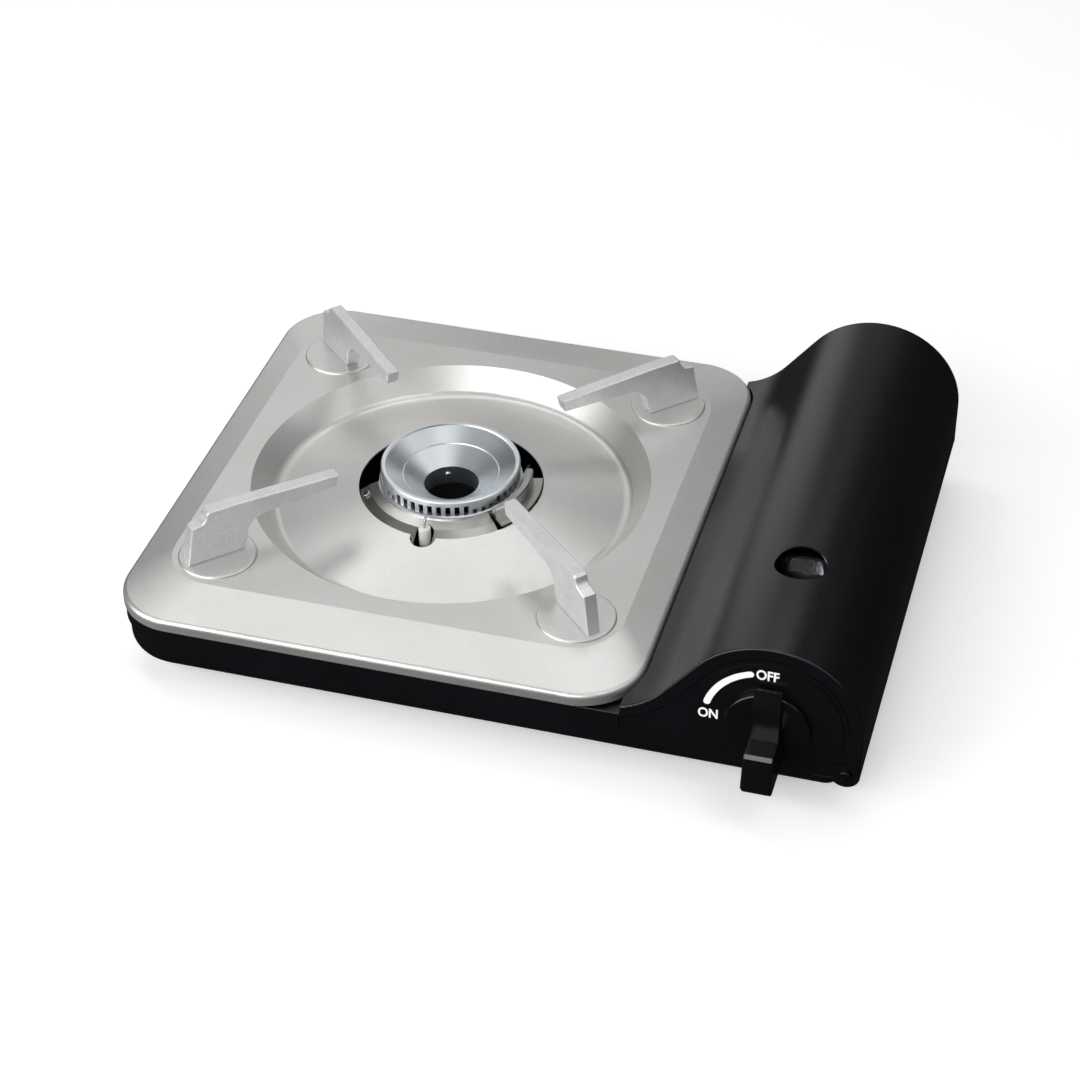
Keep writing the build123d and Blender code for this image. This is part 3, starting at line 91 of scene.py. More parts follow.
def add_node(
    tree: bpy.types.NodeTree,
    kind: str,
    settings: Optional[dict] = None,
    links: Optional[dict] = None,
) -> bpy.types.Node:
    """Add one shader node with its settings and its incoming links.

    Args:
        tree: The node tree that gets the node.
        kind: The node's Blender type name.
        settings: Values by input name, input number or property name; "stops" fills a ramp.
        links: Output sockets by the name or number of the input they feed.

    Returns:
        The new node.
    """
    made = tree.nodes.new(kind)
    for key, value in (settings or {}).items():
        if key == "stops":
            ramp = made.color_ramp
            while len(ramp.elements) < len(value):
                ramp.elements.new(1.0)
            for element, (place, colour) in zip(ramp.elements, value):
                element.position = place
                element.color = colour
        elif isinstance(key, int) or key in made.inputs:
            made.inputs[key].default_value = value
        else:
            setattr(made, key, value)
    for key, socket in (links or {}).items():
        tree.links.new(socket, made.inputs[key])
    return made


@dataclass(frozen=True)
class Finish:
    """One surface finish: what the real material is, and how it takes the light.

    Sizes are in millimetres of the real surface.
    """

    name: str
    colour: str
    shade: str
    metallic: float
    roughness: float
    roughness_swing: float = 0.05
    mottle_mm: float = 30.0
    grain_mm: float = 1.0
    grain_depth_mm: float = 0.004
    specular: float = 0.5
    coat: float = 0.0
    coat_roughness: float = 0.2
    anisotropy: float = 0.0

    def build(self) -> bpy.types.Material:
        """Make the Blender material.

        Returns:
            A material whose colour, gloss and relief come from its nodes.
        """
        material = bpy.data.materials.new(self.name)
        material.use_nodes = True
        tree = material.node_tree
        tree.nodes.clear()
        place = add_node(tree, "ShaderNodeTexCoord")
        coords = place.outputs["Object"]
        colour = self.tint(tree, coords)
        grain = self.grain(tree, coords)
        gloss = add_node(
            tree,
            "ShaderNodeMapRange",
            {
                "From Min": NOISE_LOW,
                "From Max": NOISE_HIGH,
                "To Min": self.roughness - self.roughness_swing,
                "To Max": self.roughness + self.roughness_swing,
            },
            {"Value": grain},
        )
        relief = add_node(
            tree,
            "ShaderNodeBump",
            {"Strength": 1.0, "Distance": self.grain_depth_mm * MM},
            {"Height": grain},
        )
        links = {
            "Base Color": colour,
            "Roughness": gloss.outputs["Result"],
            "Normal": relief.outputs["Normal"],
        }
        if self.anisotropy:
            around = add_node(
                tree, "ShaderNodeTangent", {"direction_type": "RADIAL", "axis": "Z"}
            )
            links["Tangent"] = around.outputs["Tangent"]
        shader = add_node(
            tree,
            "ShaderNodeBsdfPrincipled",
            {
                "Metallic": self.metallic,
                "Specular IOR Level": self.specular,
                "Coat Weight": self.coat,
                "Coat Roughness": self.coat_roughness,
                "Anisotropic": self.anisotropy,
            },
            links,
        )
        add_node(
            tree,
            "ShaderNodeOutputMaterial",
            links={"Surface": shader.outputs["BSDF"]},
        )
        return material

    def tint(
        self, tree: bpy.types.NodeTree, coords: bpy.types.NodeSocket
    ) -> bpy.types.NodeSocket:
        """Wander softly between the colour and its shade.

        Args:
            tree: The material's node tree.
            coords: The object coordinates.

        Returns:
            The socket with the colour.
        """
        clouds = add_node(
            tree,
            "ShaderNodeTexNoise",
            {"Scale": 1 / (self.mottle_mm * MM), "Detail": 3.0},
            {"Vector": coords},
        )
        ramp = add_node(
            tree,
            "ShaderNodeValToRGB",
            {
                "stops": [
                    (SHADE_START, linear(self.colour)),
                    (SHADE_END, linear(self.shade)),
                ]
            },
            {"Fac": clouds.outputs["Fac"]},
        )
        return ramp.outputs["Color"]

    def grain(
        self, tree: bpy.types.NodeTree, coords: bpy.types.NodeSocket
    ) -> bpy.types.NodeSocket:
        """Lay an even grain over the surface.

        Args:
            tree: The material's node tree.
            coords: The object coordinates.

        Returns:
            The socket with the grain's height from 0 to 1.
        """
        grit = add_node(
            tree,
            "ShaderNodeTexNoise",
            {"Scale": 1 / (self.grain_mm * MM), "Detail": 2.0},
            {"Vector": coords},
        )
        return grit.outputs["Fac"]


@dataclass(frozen=True)
class FlakeCoat(Finish):
    """A paint with metal flakes: each flake catches the light a little differently."""

    flake_mm: float = 0.8
    flake_colour: str = "#ffffff"
    flake_share: float = 0.25

    def tint(
        self, tree: bpy.types.NodeTree, coords: bpy.types.NodeSocket
    ) -> bpy.types.NodeSocket:
        """Scatter flakes over the softly wandering colour.

        Args:
            tree: The material's node tree.
            coords: The object coordinates.

        Returns:
            The socket with the colour.
        """
        ground = super().tint(tree, coords)
        flakes = add_node(
            tree,
            "ShaderNodeTexVoronoi",
            {"Scale": 1 / (self.flake_mm * MM)},
            {"Vector": coords},
        )
        spark = add_node(
            tree, "ShaderNodeSeparateColor", links={"Color": flakes.outputs["Color"]}
        )
        share = add_node(
            tree,
            "ShaderNodeMapRange",
            {
                "From Min": FLAKELESS_SHARE,
                "From Max": 1.0,
                "To Min": 0.0,
                "To Max": self.flake_share,
            },
            {"Value": spark.outputs["Red"]},
        )
        mixed = add_node(
            tree,
            "ShaderNodeMix",
            {"data_type": "RGBA", 7: linear(self.flake_colour)},
            {0: share.outputs["Result"], 6: ground},
        )
        return mixed.outputs[2]


@dataclass(frozen=True)
class TurnedMetal(Finish):
    """Metal cut on a lathe: fine rings about the turning axis."""

    centre_x: float = 0.0
    centre_y: float = 0.0
    ring_mm: float = 1.1

    def grain(
        self, tree: bpy.types.NodeTree, coords: bpy.types.NodeSocket
    ) -> bpy.types.NodeSocket:
        """Lay the lathe's rings about the turning axis.

        Args:
            tree: The material's node tree.
            coords: The object coordinates.

        Returns:
            The socket with the rings' height from 0 to 1.
        """
        flat = add_node(
            tree,
            "ShaderNodeMapping",
            {
                "Location": (-self.centre_x, -self.centre_y, 0.0),
                "Scale": (1.0, 1.0, 0.0),
            },
            {"Vector": coords},
        )
        reach = add_node(
            tree,
            "ShaderNodeVectorMath",
            {"operation": "LENGTH"},
            {0: flat.outputs["Vector"]},
        )
        rings = add_node(
            tree,
            "ShaderNodeTexNoise",
            {
                "noise_dimensions": "1D",
                "Scale": 1 / (self.ring_mm * MM),
                "Detail": 4.0,
                "Roughness": 0.7,
            },
            {"W": reach.outputs["Value"]},
        )
        return rings.outputs["Fac"]


class Run(Enum):
    """The direction in which a sheet was rolled or a bar drawn."""

    ALONG_X = (0.06, 1.0, 1.0)
    ALONG_Y = (1.0, 0.06, 1.0)
    ALONG_Z = (1.0, 1.0, 0.06)


@dataclass(frozen=True)
class RolledMetal(Finish):
    """Sheet or bar with fine lines along the direction it was rolled in."""

    run: Run = Run.ALONG_X

    def grain(
        self, tree: bpy.types.NodeTree, coords: bpy.types.NodeSocket
    ) -> bpy.types.NodeSocket:
        """Lay long fine lines along the run.

        Args:
            tree: The material's node tree.
            coords: The object coordinates.

        Returns:
            The socket with the lines' height from 0 to 1.
        """
        drawn = add_node(
            tree, "ShaderNodeMapping", {"Scale": self.run.value}, {"Vector": coords}
        )
        lines = add_node(
            tree,
            "ShaderNodeTexNoise",
            {"Scale": 1 / (self.grain_mm * MM), "Detail": 3.0},
            {"Vector": drawn.outputs["Vector"]},
        )
        return lines.outputs["Fac"]


def centre_of(node: str) -> Vector:
    """Return the middle of a CAD node's box, in metres."""
    low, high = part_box(node)
    return (low + high) / 2


BURNER_CENTRE = centre_of("burner_head")

# Baked acrylic enamel on pressed steel: satin, with the faint orange peel of a spray gun.
BLACK_ENAMEL = Finish(
    name="black_baked_enamel",
    colour="#08090d",
    shade="#0b0c11",
    metallic=0.0,
    roughness=0.33,
    roughness_swing=0.02,
    mottle_mm=40.0,
    grain_mm=1.6,
    grain_depth_mm=0.003,
)
# The cover's enamel is a little flatter, so its curve shows broad soft reflections.
COVER_ENAMEL = Finish(
    name="black_cover_enamel",
    colour="#05090c",
    shade="#080c10",
    metallic=0.0,
    roughness=0.32,
    roughness_swing=0.025,
    mottle_mm=55.0,
    grain_mm=1.6,
    grain_depth_mm=0.0025,
    specular=0.6,
)
# Screened vinyl ink plate: slightly glossier than the enamel round it.
DIAL_INK_GROUND = Finish(
    name="black_dial_ink",
    colour="#090a0c",
    shade="#0c0d0f",
    metallic=0.0,
    roughness=0.3,
    roughness_swing=0.015,
    grain_mm=1.2,
    grain_depth_mm=0.0015,
)
# Silicone heat-proof paint with fine aluminium flakes, sprayed on pressed steel.
CHAMPAGNE_COAT = FlakeCoat(
    name="champagne_flake_coat",
    colour="#dddcda",
    shade="#d7d6d3",
    metallic=0.85,
    roughness=0.42,
    roughness_swing=0.04,
    mottle_mm=35.0,
    grain_mm=1.2,
    grain_depth_mm=0.003,
    flake_mm=0.7,
    flake_share=0.1,
)
# Die-cast aluminium arms under a coarse silver paint: it sparkles and hides the flow lines.
SILVER_CAST_COAT = FlakeCoat(
    name="silver_cast_coat",
    colour="#e2e3e3",
    shade="#d8d9da",
    metallic=0.7,
    roughness=0.48,
    roughness_swing=0.06,
    mottle_mm=12.0,
    grain_mm=0.6,
    grain_depth_mm=0.018,
    flake_mm=0.55,
    flake_share=0.35,
)
# Aluminium turned on a lathe: bright, cool, with rings that pull the light into sectors.
TURNED_ALUMINIUM = TurnedMetal(
    name="turned_aluminium",
    colour="#eef2f5",
    shade="#e6ebef",
    metallic=1.0,
    roughness=0.36,
    roughness_swing=0.02,
    mottle_mm=15.0,
    grain_depth_mm=0.0012,
    anisotropy=0.4,
    centre_x=BURNER_CENTRE.x,
    centre_y=BURNER_CENTRE.y,
)
# Grey iron, sand cast: dark and coarse.
SAND_CAST_IRON = Finish(
    name="sand_cast_iron",
    colour="#3a3a3b",
    shade="#2b2b2c",
    metallic=0.8,
    roughness=0.6,
    roughness_swing=0.1,
    mottle_mm=9.0,
    grain_mm=1.4,
    grain_depth_mm=0.12,
)
# Stainless sheet, deep drawn: satin, with a slight pull in its grain.
DRAWN_STAINLESS = RolledMetal(
    name="drawn_stainless",
    colour="#c6c5c1",
    shade="#b5b4b0",
    metallic=1.0,
    roughness=0.3,
    roughness_swing=0.02,
    mottle_mm=14.0,
    grain_mm=0.9,
    grain_depth_mm=0.002,
    run=Run.ALONG_X,
)
# Mild steel sheet with clear zinc plating: cool grey with a faint spangle.
ZINC_SHEET = RolledMetal(
    name="zinc_plated_sheet",
    colour="#c3c7ca",
    shade="#aab0b6",
    metallic=1.0,
    roughness=0.36,
    roughness_swing=0.08,
    mottle_mm=7.0,
    grain_mm=0.8,
    grain_depth_mm=0.008,
    run=Run.ALONG_Y,
)
# Aluminium sheet straight from the mill.
MILL_ALUMINIUM = RolledMetal(
    name="mill_aluminium_sheet",
    colour="#d5d6d7",
    shade="#c7c9cb",
    metallic=1.0,
    roughness=0.32,
    roughness_swing=0.07,
    mottle_mm=25.0,
    grain_mm=0.7,
    grain_depth_mm=0.008,
    run=Run.ALONG_Y,
)
# Zinc-plated screws and rivets.
PLATED_SCREW = Finish(
    name="plated_screw_steel",
    colour="#c2c3c2",
    shade="#a9aaaa",
    metallic=1.0,
    roughness=0.28,
    mottle_mm=3.0,
    grain_mm=0.6,
    grain_depth_mm=0.008,
)
# Steel screws with black oxide: a dark, slightly oily gloss.
BLACK_OXIDE = Finish(
    name="black_oxide_steel",
    colour="#2b2c2e",
    shade="#3a3b3d",
    metallic=0.9,
    roughness=0.3,
    mottle_mm=2.0,
    grain_mm=0.5,
    grain_depth_mm=0.006,
)
# Zinc alloy, die cast: pale grey with a fine cast skin.
DIE_CAST_ZINC = Finish(
    name="die_cast_zinc",
    colour="#b3b5b8",
    shade="#9da0a4",
    metallic=1.0,
    roughness=0.42,
    roughness_swing=0.08,
    mottle_mm=8.0,
    grain_mm=0.9,
    grain_depth_mm=0.03,
)
# Machined brass.
MACHINED_BRASS = Finish(
    name="machined_brass",
    colour="#d9b566",
    shade="#c9a04f",
    metallic=1.0,
    roughness=0.24,
    mottle_mm=5.0,
    grain_mm=0.6,
    grain_depth_mm=0.008,
)
# Hard-drawn wire.
DRAWN_WIRE = Finish(
    name="drawn_steel_wire",
    colour="#c9c8c4",
    shade="#b0afab",
    metallic=1.0,
    roughness=0.26,
    mottle_mm=4.0,
    grain_mm=0.5,
    grain_depth_mm=0.005,
)
# Turned steel bar.
TURNED_STEEL = RolledMetal(
    name="turned_steel_bar",
    colour="#b9babc",
    shade="#a6a8ab",
    metallic=1.0,
    roughness=0.26,
    mottle_mm=8.0,
    grain_mm=0.6,
    grain_depth_mm=0.006,
    run=Run.ALONG_X,
)
# Alumina ceramic, fired without a glaze: white and chalky.
WHITE_ALUMINA = Finish(
    name="white_alumina",
    colour="#efeeea",
    shade="#e4e2dc",
    metallic=0.0,
    roughness=0.5,
    roughness_swing=0.08,
    mottle_mm=4.0,
    grain_mm=0.5,
    grain_depth_mm=0.01,
)
# Moulded nitrile rubber: matt, with a faint bloom.
BLACK_RUBBER = Finish(
    name="moulded_black_rubber",
    colour="#161617",
    shade="#1f1f20",
    metallic=0.0,
    roughness=0.72,
    roughness_swing=0.06,
    mottle_mm=6.0,
    grain_mm=0.6,
    grain_depth_mm=0.02,
    specular=0.35,
)
# Silicone sleeve of the spark lead.
SILICONE_SLEEVE = Finish(
    name="silicone_sleeve",
    colour="#d9d6cc",
    shade="#cbc7bb",
    metallic=0.0,
    roughness=0.5,
    mottle_mm=8.0,
    grain_mm=0.7,
    grain_depth_mm=0.008,
)
# Phenolic knob, compression moulded: semi-gloss black that shows light along each crease.
BLACK_PHENOLIC = Finish(
    name="black_phenolic",
    colour="#07080b",
    shade="#0a0b0f",
    metallic=0.0,
    roughness=0.22,
    roughness_swing=0.015,
    mottle_mm=15.0,
    grain_mm=1.6,
    grain_depth_mm=0.0015,
    specular=0.7,
)
# Natural acetal: milky, waxy.
NATURAL_ACETAL = Finish(
    name="natural_acetal",
    colour="#e3e1d8",
    shade="#d8d5ca",
    metallic=0.0,
    roughness=0.42,
    mottle_mm=8.0,
    grain_mm=0.7,
    grain_depth_mm=0.006,
)
# Black nylon of the igniter's case.
BLACK_NYLON = Finish(
    name="black_nylon",
    colour="#1b1c1d",
    shade="#232425",
    metallic=0.0,
    roughness=0.5,
    mottle_mm=6.0,
    grain_mm=0.6,
    grain_depth_mm=0.012,
)
# Nickel-plated sintered magnet.
PLATED_MAGNET = Finish(
    name="nickel_plated_magnet",
    colour="#8f9092",
    shade="#7a7b7d",
    metallic=1.0,
    roughness=0.3,
    mottle_mm=4.0,
    grain_mm=0.7,
    grain_depth_mm=0.01,
)
# Tinplate of the gas can: a bright, slightly streaked mirror.
BRIGHT_TINPLATE = RolledMetal(
    name="bright_tinplate",
    colour="#dcdfe2",
    shade="#cfd3d7",
    metallic=1.0,
    roughness=0.16,
    roughness_swing=0.05,
    mottle_mm=20.0,
    grain_mm=0.8,
    grain_depth_mm=0.004,
    run=Run.ALONG_Y,
)
# Screen-printed white ink, a few hundredths thick.
WHITE_INK = Finish(
    name="white_screen_ink",
    colour="#f6f6f4",
    shade="#efefec",
    metallic=0.0,
    roughness=0.45,
    mottle_mm=4.0,
    grain_mm=0.5,
    grain_depth_mm=0.003,
)


class Workshop:
    """Builds each finish once and puts it on nodes and pieces."""

    def __init__(self) -> None:
        """Start with no finish built."""
        self.built: dict[str, bpy.types.Material] = {}

    def material(self, finish: Finish) -> bpy.types.Material:
        """Return the material of a finish, built on first use."""
        if finish.name not in self.built:
            self.built[finish.name] = finish.build()
        return self.built[finish.name]

    def dress(self, finish: Finish, *nodes: str) -> None:
        """Put one finish on CAD nodes.

        Args:
            finish: The finish.
            nodes: Names of CAD nodes.
        """
        material = self.material(finish)
        for name in nodes:
            for holder in frame["nodes"][name].material_slots:
                holder.material = material
            LOG.info("%s is dressed in %s", name, finish.name)

    def keep(
        self, mesh: bpy.types.Mesh, name: str, finish: Finish, body: str
    ) -> bpy.types.Object:
        """Make a new piece from a mesh that already stands in its place.

        Args:
            mesh: The mesh, in the shared frame.
            name: The piece's name.
            finish: Its finish.
            body: The CAD body that it rides on.

        Returns:
            The new object.
        """
        mesh.materials.clear()
        mesh.materials.append(self.material(finish))
        piece = bpy.data.objects.new(name, mesh)
        bpy.context.scene.collection.objects.link(piece)
        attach(piece, body)
        LOG.info("%s is built in %s and rides on %s", name, finish.name, body)
        return piece


@dataclass
class DripPlate:
    """The lift-off plate with its four pan supports."""

    supports: tuple[str, ...] = (
        "pan_support_front_left",
        "pan_support_front_right",
        "pan_support_rear_left",
        "pan_support_rear_right",
    )

    def dress(self, shop: Workshop) -> None:
        """Dress the plate, its supports and their screws."""
        shop.dress(CHAMPAGNE_COAT, "drip_plate")
        shop.dress(SILVER_CAST_COAT, *self.supports)
        shop.dress(PLATED_SCREW, "pan_support_screws")


@dataclass
class Burner:
    """The burner with its head, casting, seat and guard."""

    def dress(self, shop: Workshop) -> None:
        """Dress every part of the burner."""
        shop.dress(TURNED_ALUMINIUM, "burner_head", "burner_rivets")
        shop.dress(SAND_CAST_IRON, "burner_body")
        shop.dress(DRAWN_STAINLESS, "burner_base", "flame_guard", "burner_stand")
        shop.dress(PLATED_SCREW, "burner_screws", "base_screw")
        shop.dress(ZINC_SHEET, "mixing_tube", "air_shutter")


@dataclass
class Ignition:
    """The spark electrode, its lead and the piezo igniter."""

    def dress(self, shop: Workshop) -> None:
        """Dress the electrode and the igniter."""
        shop.dress(WHITE_ALUMINA, "electrode_ceramic")
        shop.dress(DRAWN_WIRE, "electrode_wire")
        shop.dress(DRAWN_STAINLESS, "electrode_bracket")
        shop.dress(SILICONE_SLEEVE, "ignition_lead")
        shop.dress(BLACK_NYLON, "piezo_housing")
        shop.dress(NATURAL_ACETAL, "piezo_plunger", "knob_cam")


@dataclass
class Housing:
    """The pan, the frame, the end panels, the cover and what holds them."""

    def dress(self, shop: Workshop) -> None:
        """Dress the housing."""
        shop.dress(BLACK_ENAMEL, "base_pan", "upper_frame", "front_panel", "rear_panel")
        shop.dress(COVER_ENAMEL, "canister_cover")
        shop.dress(BLACK_OXIDE, "hinge_screws")
        shop.dress(PLATED_SCREW, "frame_screws", "panel_rivets")
        shop.dress(ZINC_SHEET, "hinge_bracket_front", "hinge_bracket_rear")
        shop.dress(ZINC_SHEET, "heat_shield", "canister_saddles")
        shop.dress(MILL_ALUMINIUM, "heat_panel")
        shop.dress(BLACK_RUBBER, "rubber_feet", "cover_bumpers", "plate_rests")


@dataclass
class GasTrain:
    """The gas can, its magnets, the regulator and the nozzle."""

    def dress(self, shop: Workshop) -> None:
        """Dress the can and the regulator."""
        shop.dress(BRIGHT_TINPLATE, "canister_body", "canister_dome")
        shop.dress(BRIGHT_TINPLATE, "canister_collar", "canister_base")
        shop.dress(MACHINED_BRASS, "valve_stem", "gas_nozzle")
        shop.dress(DIE_CAST_ZINC, "regulator_body", "regulator_cap")
        shop.dress(PLATED_SCREW, "regulator_screws")
        shop.dress(DRAWN_WIRE, "regulator_spring")
        shop.dress(BLACK_RUBBER, "diaphragm")
        shop.dress(ZINC_SHEET, "magnet_holder")
        shop.dress(PLATED_MAGNET, "magnets")


@dataclass
class Dial:
    """The knob and the printed plate behind it. Sizes are in millimetres."""

    mark_radius: float = 27.5
    mark_stroke: float = 3.0
    mark_from: float = 108.0
    mark_to: float = 164.5
    ink_depth: float = 0.05
    letter_height: float = 5.0
    cap_share: float = 0.72
    arc_steps: int = 36
    cap_steps: int = 16
    merge_reach: float = 1e-4
    letter_squeeze: float = 0.8
    letter_weight: float = 0.18
    off_offset: tuple[float, float] = (-1.3, 26.6)
    on_offset: tuple[float, float] = (-25.8, 0.7)

    def axis(self) -> Vector:
        """Return the point where the knob's axis meets the printed face."""
        joint = next(j for j in frame["joints"] if j["name"] == "knob_turn")
        origin = Vector(joint["pos_m"])
        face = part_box("dial_plate")[0].y
        return Vector((origin.x, face, origin.z))

    def dress(self, shop: Workshop) -> None:
        """Dress the knob, its shaft and the plate."""
        shop.dress(DIAL_INK_GROUND, "dial_plate")
        shop.dress(BLACK_PHENOLIC, "control_knob")
        shop.dress(TURNED_STEEL, "knob_spindle")
        shop.dress(ZINC_SHEET, "knob_clip")

    def on_face(self, across: float, up: float) -> Matrix:
        """Return the placing of flat artwork, drawn in XY, on the printed face.

        Args:
            across: Millimetres to the right of the knob's axis.
            up: Millimetres above the knob's axis.
        """
        centre = self.axis()
        spot = Vector((centre.x + across * MM, centre.y, centre.z + up * MM))
        return Matrix.Translation(spot) @ Matrix.Rotation(math.radians(90), 4, "X")

    def build_mark(self, shop: Workshop) -> None:
        """Print the curved mark that runs from off to on, with round ends."""
        start = math.radians(self.mark_from)
        sweep = math.radians(self.mark_to - self.mark_from)
        half = self.mark_stroke / 2 * MM
        middle = self.mark_radius * MM
        outward = Vector((math.cos(start), math.sin(start), 0.0))
        shape = bmesh.new()
        inner = shape.verts.new(outward * (middle - half))
        outer = shape.verts.new(outward * (middle + half))
        stroke = shape.edges.new((inner, outer))
        bmesh.ops.spin(
            shape, geom=[stroke], axis=(0, 0, 1), angle=sweep, steps=self.arc_steps, use_merge=False
        )
        for turn, sense in ((0.0, -1.0), (sweep, 1.0)):
            arm = Matrix.Rotation(turn, 3, "Z") @ outward
            centre = shape.verts.new(arm * middle)
            tip = shape.verts.new(arm * (middle + half))
            spoke = shape.edges.new((centre, tip))
            bmesh.ops.spin(
                shape,
                geom=[spoke],
                cent=arm * middle,
                axis=(0, 0, 1),
                angle=sense * math.pi,
                steps=self.cap_steps,
                use_merge=False,
            )
        bmesh.ops.remove_doubles(shape, verts=shape.verts, dist=self.merge_reach * MM)
        self.raise_ink(shape)
        mesh = bpy.data.meshes.new("dial_mark")
        shape.to_mesh(mesh)
        shape.free()
        mesh.transform(self.on_face(0.0, 0.0))
        shop.keep(mesh, "dial_mark", WHITE_INK, "chassis")

    def raise_ink(self, shape: bmesh.types.BMesh) -> None:
        """Give flat artwork the thickness of its ink."""
        raised = bmesh.ops.extrude_face_region(shape, geom=shape.faces[:])
        tops = [part for part in raised["geom"] if isinstance(part, bmesh.types.BMVert)]
        bmesh.ops.translate(shape, verts=tops, vec=(0, 0, self.ink_depth * MM))
        bmesh.ops.recalc_face_normals(shape, faces=shape.faces)

    def build_letters(self, shop: Workshop, name: str, words: str, spot: tuple) -> None:
        """Print one word, centred on a spot.

        Args:
            shop: Where finishes come from.
            name: The piece's name.
            words: What is printed.
            spot: Millimetres right of and above the knob's axis.
        """
        drawing = bpy.data.curves.new(name, "FONT")
        drawing.body = words
        drawing.align_x = "CENTER"
        drawing.align_y = "CENTER"
        drawing.size = self.letter_height / self.cap_share * MM
        drawing.offset = self.letter_weight * MM
        drawing.extrude = self.ink_depth / 2 * MM
        holder = bpy.data.objects.new(name + "_drawing", drawing)
        bpy.context.scene.collection.objects.link(holder)
        settled = holder.evaluated_get(bpy.context.evaluated_depsgraph_get())
        mesh = bpy.data.meshes.new_from_object(settled)
        bpy.data.objects.remove(holder)
        bpy.data.curves.remove(drawing)
        mesh.transform(Matrix.Diagonal((self.letter_squeeze, 1.0, 1.0, 1.0)))
        mesh.transform(Matrix.Translation((0, 0, self.ink_depth / 2 * MM)))
        mesh.transform(self.on_face(*spot))
        shop.keep(mesh, name, WHITE_INK, "chassis")

    def build(self, shop: Workshop) -> None:
        """Print the mark and both words."""
        self.build_mark(shop)
        self.build_letters(shop, "letters_off", "OFF", self.off_offset)
        self.build_letters(shop, "letters_on", "ON", self.on_offset)


@dataclass(frozen=True)
class SoftBox:
    """One softbox lamp, aimed at the stove. Angles are in degrees, lengths in metres."""

    name: str
    azimuth: float
    elevation: float
    power: float
    distance: float = 1.5
    width: float = 0.6
    height: float = 0.6
    colour: str = "#ffffff"

    def light(self, target: Vector) -> None:
        """Hang the lamp.

        Args:
            target: The point that it is aimed at.
        """
        turn, lift = math.radians(self.azimuth), math.radians(self.elevation)
        way = Vector(
            (
                math.sin(turn) * math.cos(lift),
                -math.cos(turn) * math.cos(lift),
                math.sin(lift),
            )
        )
        lamp = bpy.data.lights.new(self.name, "AREA")
        lamp.shape = "RECTANGLE"
        lamp.size = self.width
        lamp.size_y = self.height
        lamp.energy = self.power
        lamp.color = linear(self.colour)[:3]
        holder = bpy.data.objects.new(self.name, lamp)
        holder.location = target + way * self.distance
        holder.rotation_euler = (-way).to_track_quat("-Z", "Y").to_euler()
        holder.visible_camera = False
        bpy.context.scene.collection.objects.link(holder)


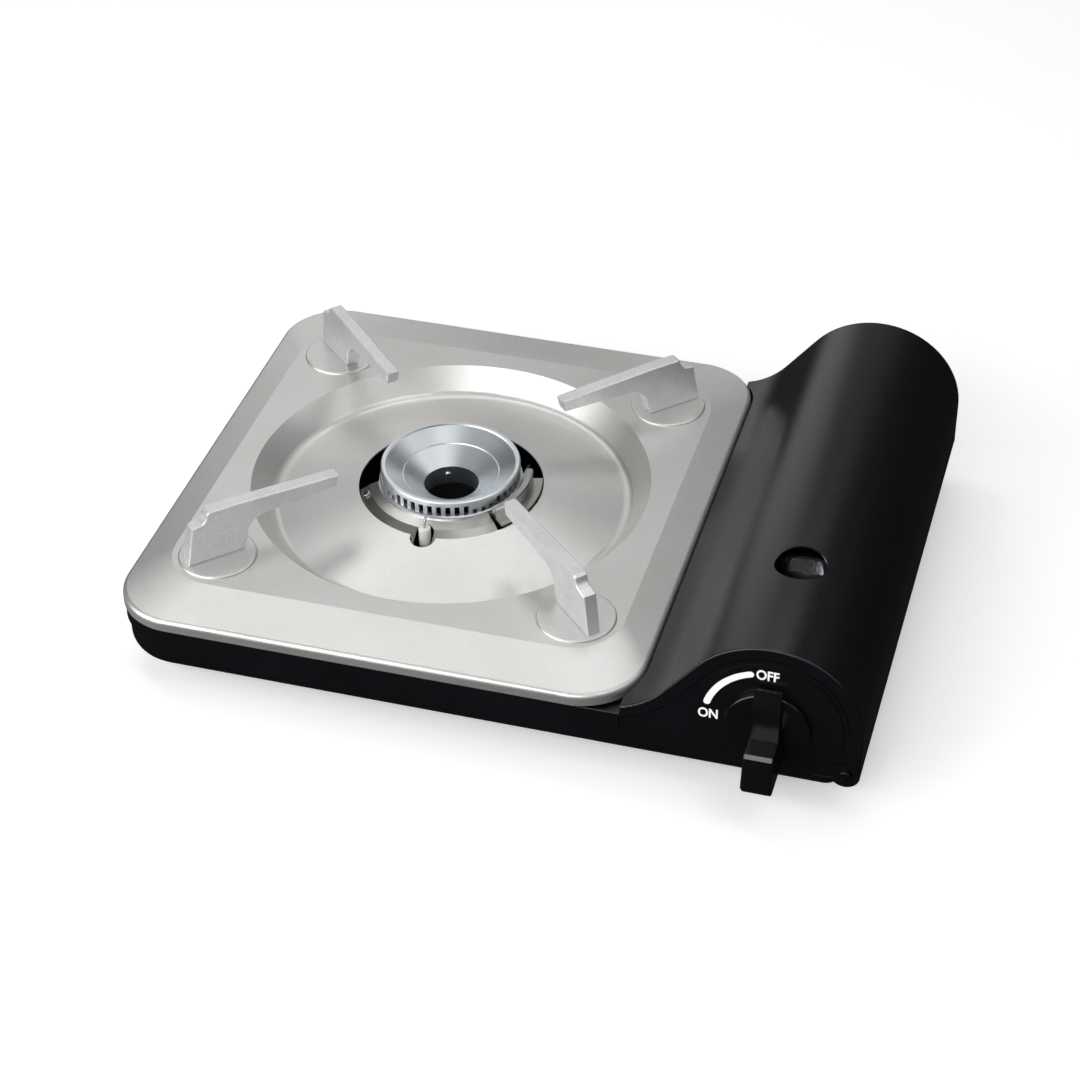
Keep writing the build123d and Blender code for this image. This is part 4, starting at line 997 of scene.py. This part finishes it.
@dataclass
class Studio:
    """The pale floor, the soft lamps and the camera."""

    floor_size: float = 8.0
    floor_colour: str = "#f7f7f7"
    floor_glow: float = 0.34
    floor_gap_mm: float = 0.02
    air_colour: str = "#f2f5fa"
    air_strength: float = 0.02
    azimuth: float = 16.0201
    elevation: float = 37.8685
    roll: float = -0.432
    distance: float = 1.22469
    target: tuple[float, float, float] = (0.00678, -0.00798, 0.030)
    lens: float = 88.0877
    shift_x: float = -0.01488
    shift_y: float = 0.00558

    def build_floor(self) -> None:
        """Lay the floor under the feet."""
        sheet = bmesh.new()
        bmesh.ops.create_grid(sheet, x_segments=1, y_segments=1, size=self.floor_size / 2)
        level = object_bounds()[0].z - self.floor_gap_mm * MM
        bmesh.ops.translate(sheet, verts=sheet.verts, vec=(0, 0, level))
        mesh = bpy.data.meshes.new("floor")
        sheet.to_mesh(mesh)
        sheet.free()
        floor = bpy.data.objects.new("floor", mesh)
        bpy.context.scene.collection.objects.link(floor)
        material = bpy.data.materials.new("pale_floor")
        material.use_nodes = True
        tree = material.node_tree
        tree.nodes.clear()
        paper = add_node(
            tree,
            "ShaderNodeBsdfPrincipled",
            {
                "Base Color": linear(self.floor_colour),
                "Roughness": 0.9,
                "Specular IOR Level": 0.1,
                "Emission Color": (1.0, 1.0, 1.0, 1.0),
                "Emission Strength": self.floor_glow,
            },
        )
        add_node(
            tree, "ShaderNodeOutputMaterial", links={"Surface": paper.outputs["BSDF"]}
        )
        mesh.materials.append(material)
        floor.visible_glossy = False
        floor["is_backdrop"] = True

    def build_lamps(self) -> None:
        """Hang the soft lamps and set the dim surroundings."""
        aim = Vector(self.target)
        for lamp in (
            SoftBox("rear_top_box", 180.0, 60.0, 2.5),
            SoftBox("left_top_box", 240.0, 60.0, 2.8),
            SoftBox("right_top_box", 60.0, 60.0, 3.0),
            SoftBox("top_box", 0.0, 88.0, 1.3),
            SoftBox("rear_left_box", 210.0, 35.0, 0.8),
            SoftBox("rear_left_low_box", 210.0, 12.0, 1.0),
            SoftBox("rear_low_box", 180.0, 12.0, 1.0),
            SoftBox("front_box", 0.0, 35.0, 5.4),
            SoftBox("front_left_box", 330.0, 35.0, 4.3),
            SoftBox("front_left_low_box", 330.0, 12.0, 3.2),
            SoftBox("left_box", 300.0, 35.0, 2.8),
            SoftBox("left_low_box", 300.0, 12.0, 5.7),
            SoftBox("right_box", 90.0, 35.0, 1.9),
            SoftBox("rear_right_box", 120.0, 50.0, 1.4),
        ):
            lamp.light(aim)
        world = bpy.data.worlds.new("studio")
        world.use_nodes = True
        tree = world.node_tree
        tree.nodes.clear()
        air = add_node(
            tree, "ShaderNodeBackground", {"Color": linear(self.air_colour), "Strength": self.air_strength}
        )
        add_node(
            tree, "ShaderNodeOutputWorld", links={"Surface": air.outputs["Background"]}
        )
        bpy.context.scene.world = world
        bpy.context.scene.view_settings.view_transform = "Standard"

    def build_camera(self) -> None:
        """Stand the camera where the stove is seen from its front right, from above."""
        turn, lift = math.radians(self.azimuth), math.radians(self.elevation)
        roll = math.radians(self.roll)
        back = Vector(
            (
                math.sin(turn) * math.cos(lift),
                -math.cos(turn) * math.cos(lift),
                math.sin(lift),
            )
        )
        right = Vector((math.cos(turn), math.sin(turn), 0.0))
        up = back.cross(right)
        rolled_right = right * math.cos(roll) + up * math.sin(roll)
        rolled_up = up * math.cos(roll) - right * math.sin(roll)
        data = bpy.data.cameras.new("camera")
        data.sensor_width = 36.0
        data.lens = self.lens
        data.shift_x = self.shift_x
        data.shift_y = self.shift_y
        camera = bpy.data.objects.new("camera", data)
        turned = Matrix((rolled_right, rolled_up, back)).transposed().to_4x4()
        spot = Vector(self.target) + back * self.distance
        camera.matrix_world = Matrix.Translation(spot) @ turned
        bpy.context.scene.collection.objects.link(camera)
        bpy.context.scene.camera = camera

    def build(self) -> None:
        """Build the floor, the lamps and the camera."""
        self.build_floor()
        self.build_lamps()
        self.build_camera()


def main() -> None:
    """Build the stove's looks and the studio round it."""
    logging.basicConfig(level=logging.INFO)
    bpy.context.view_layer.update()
    shop = Workshop()
    for part in (DripPlate(), Burner(), Ignition(), Housing(), GasTrain()):
        part.dress(shop)
    dial = Dial()
    dial.dress(shop)
    dial.build(shop)
    Studio().build()


if __name__ == "__main__":
    main()
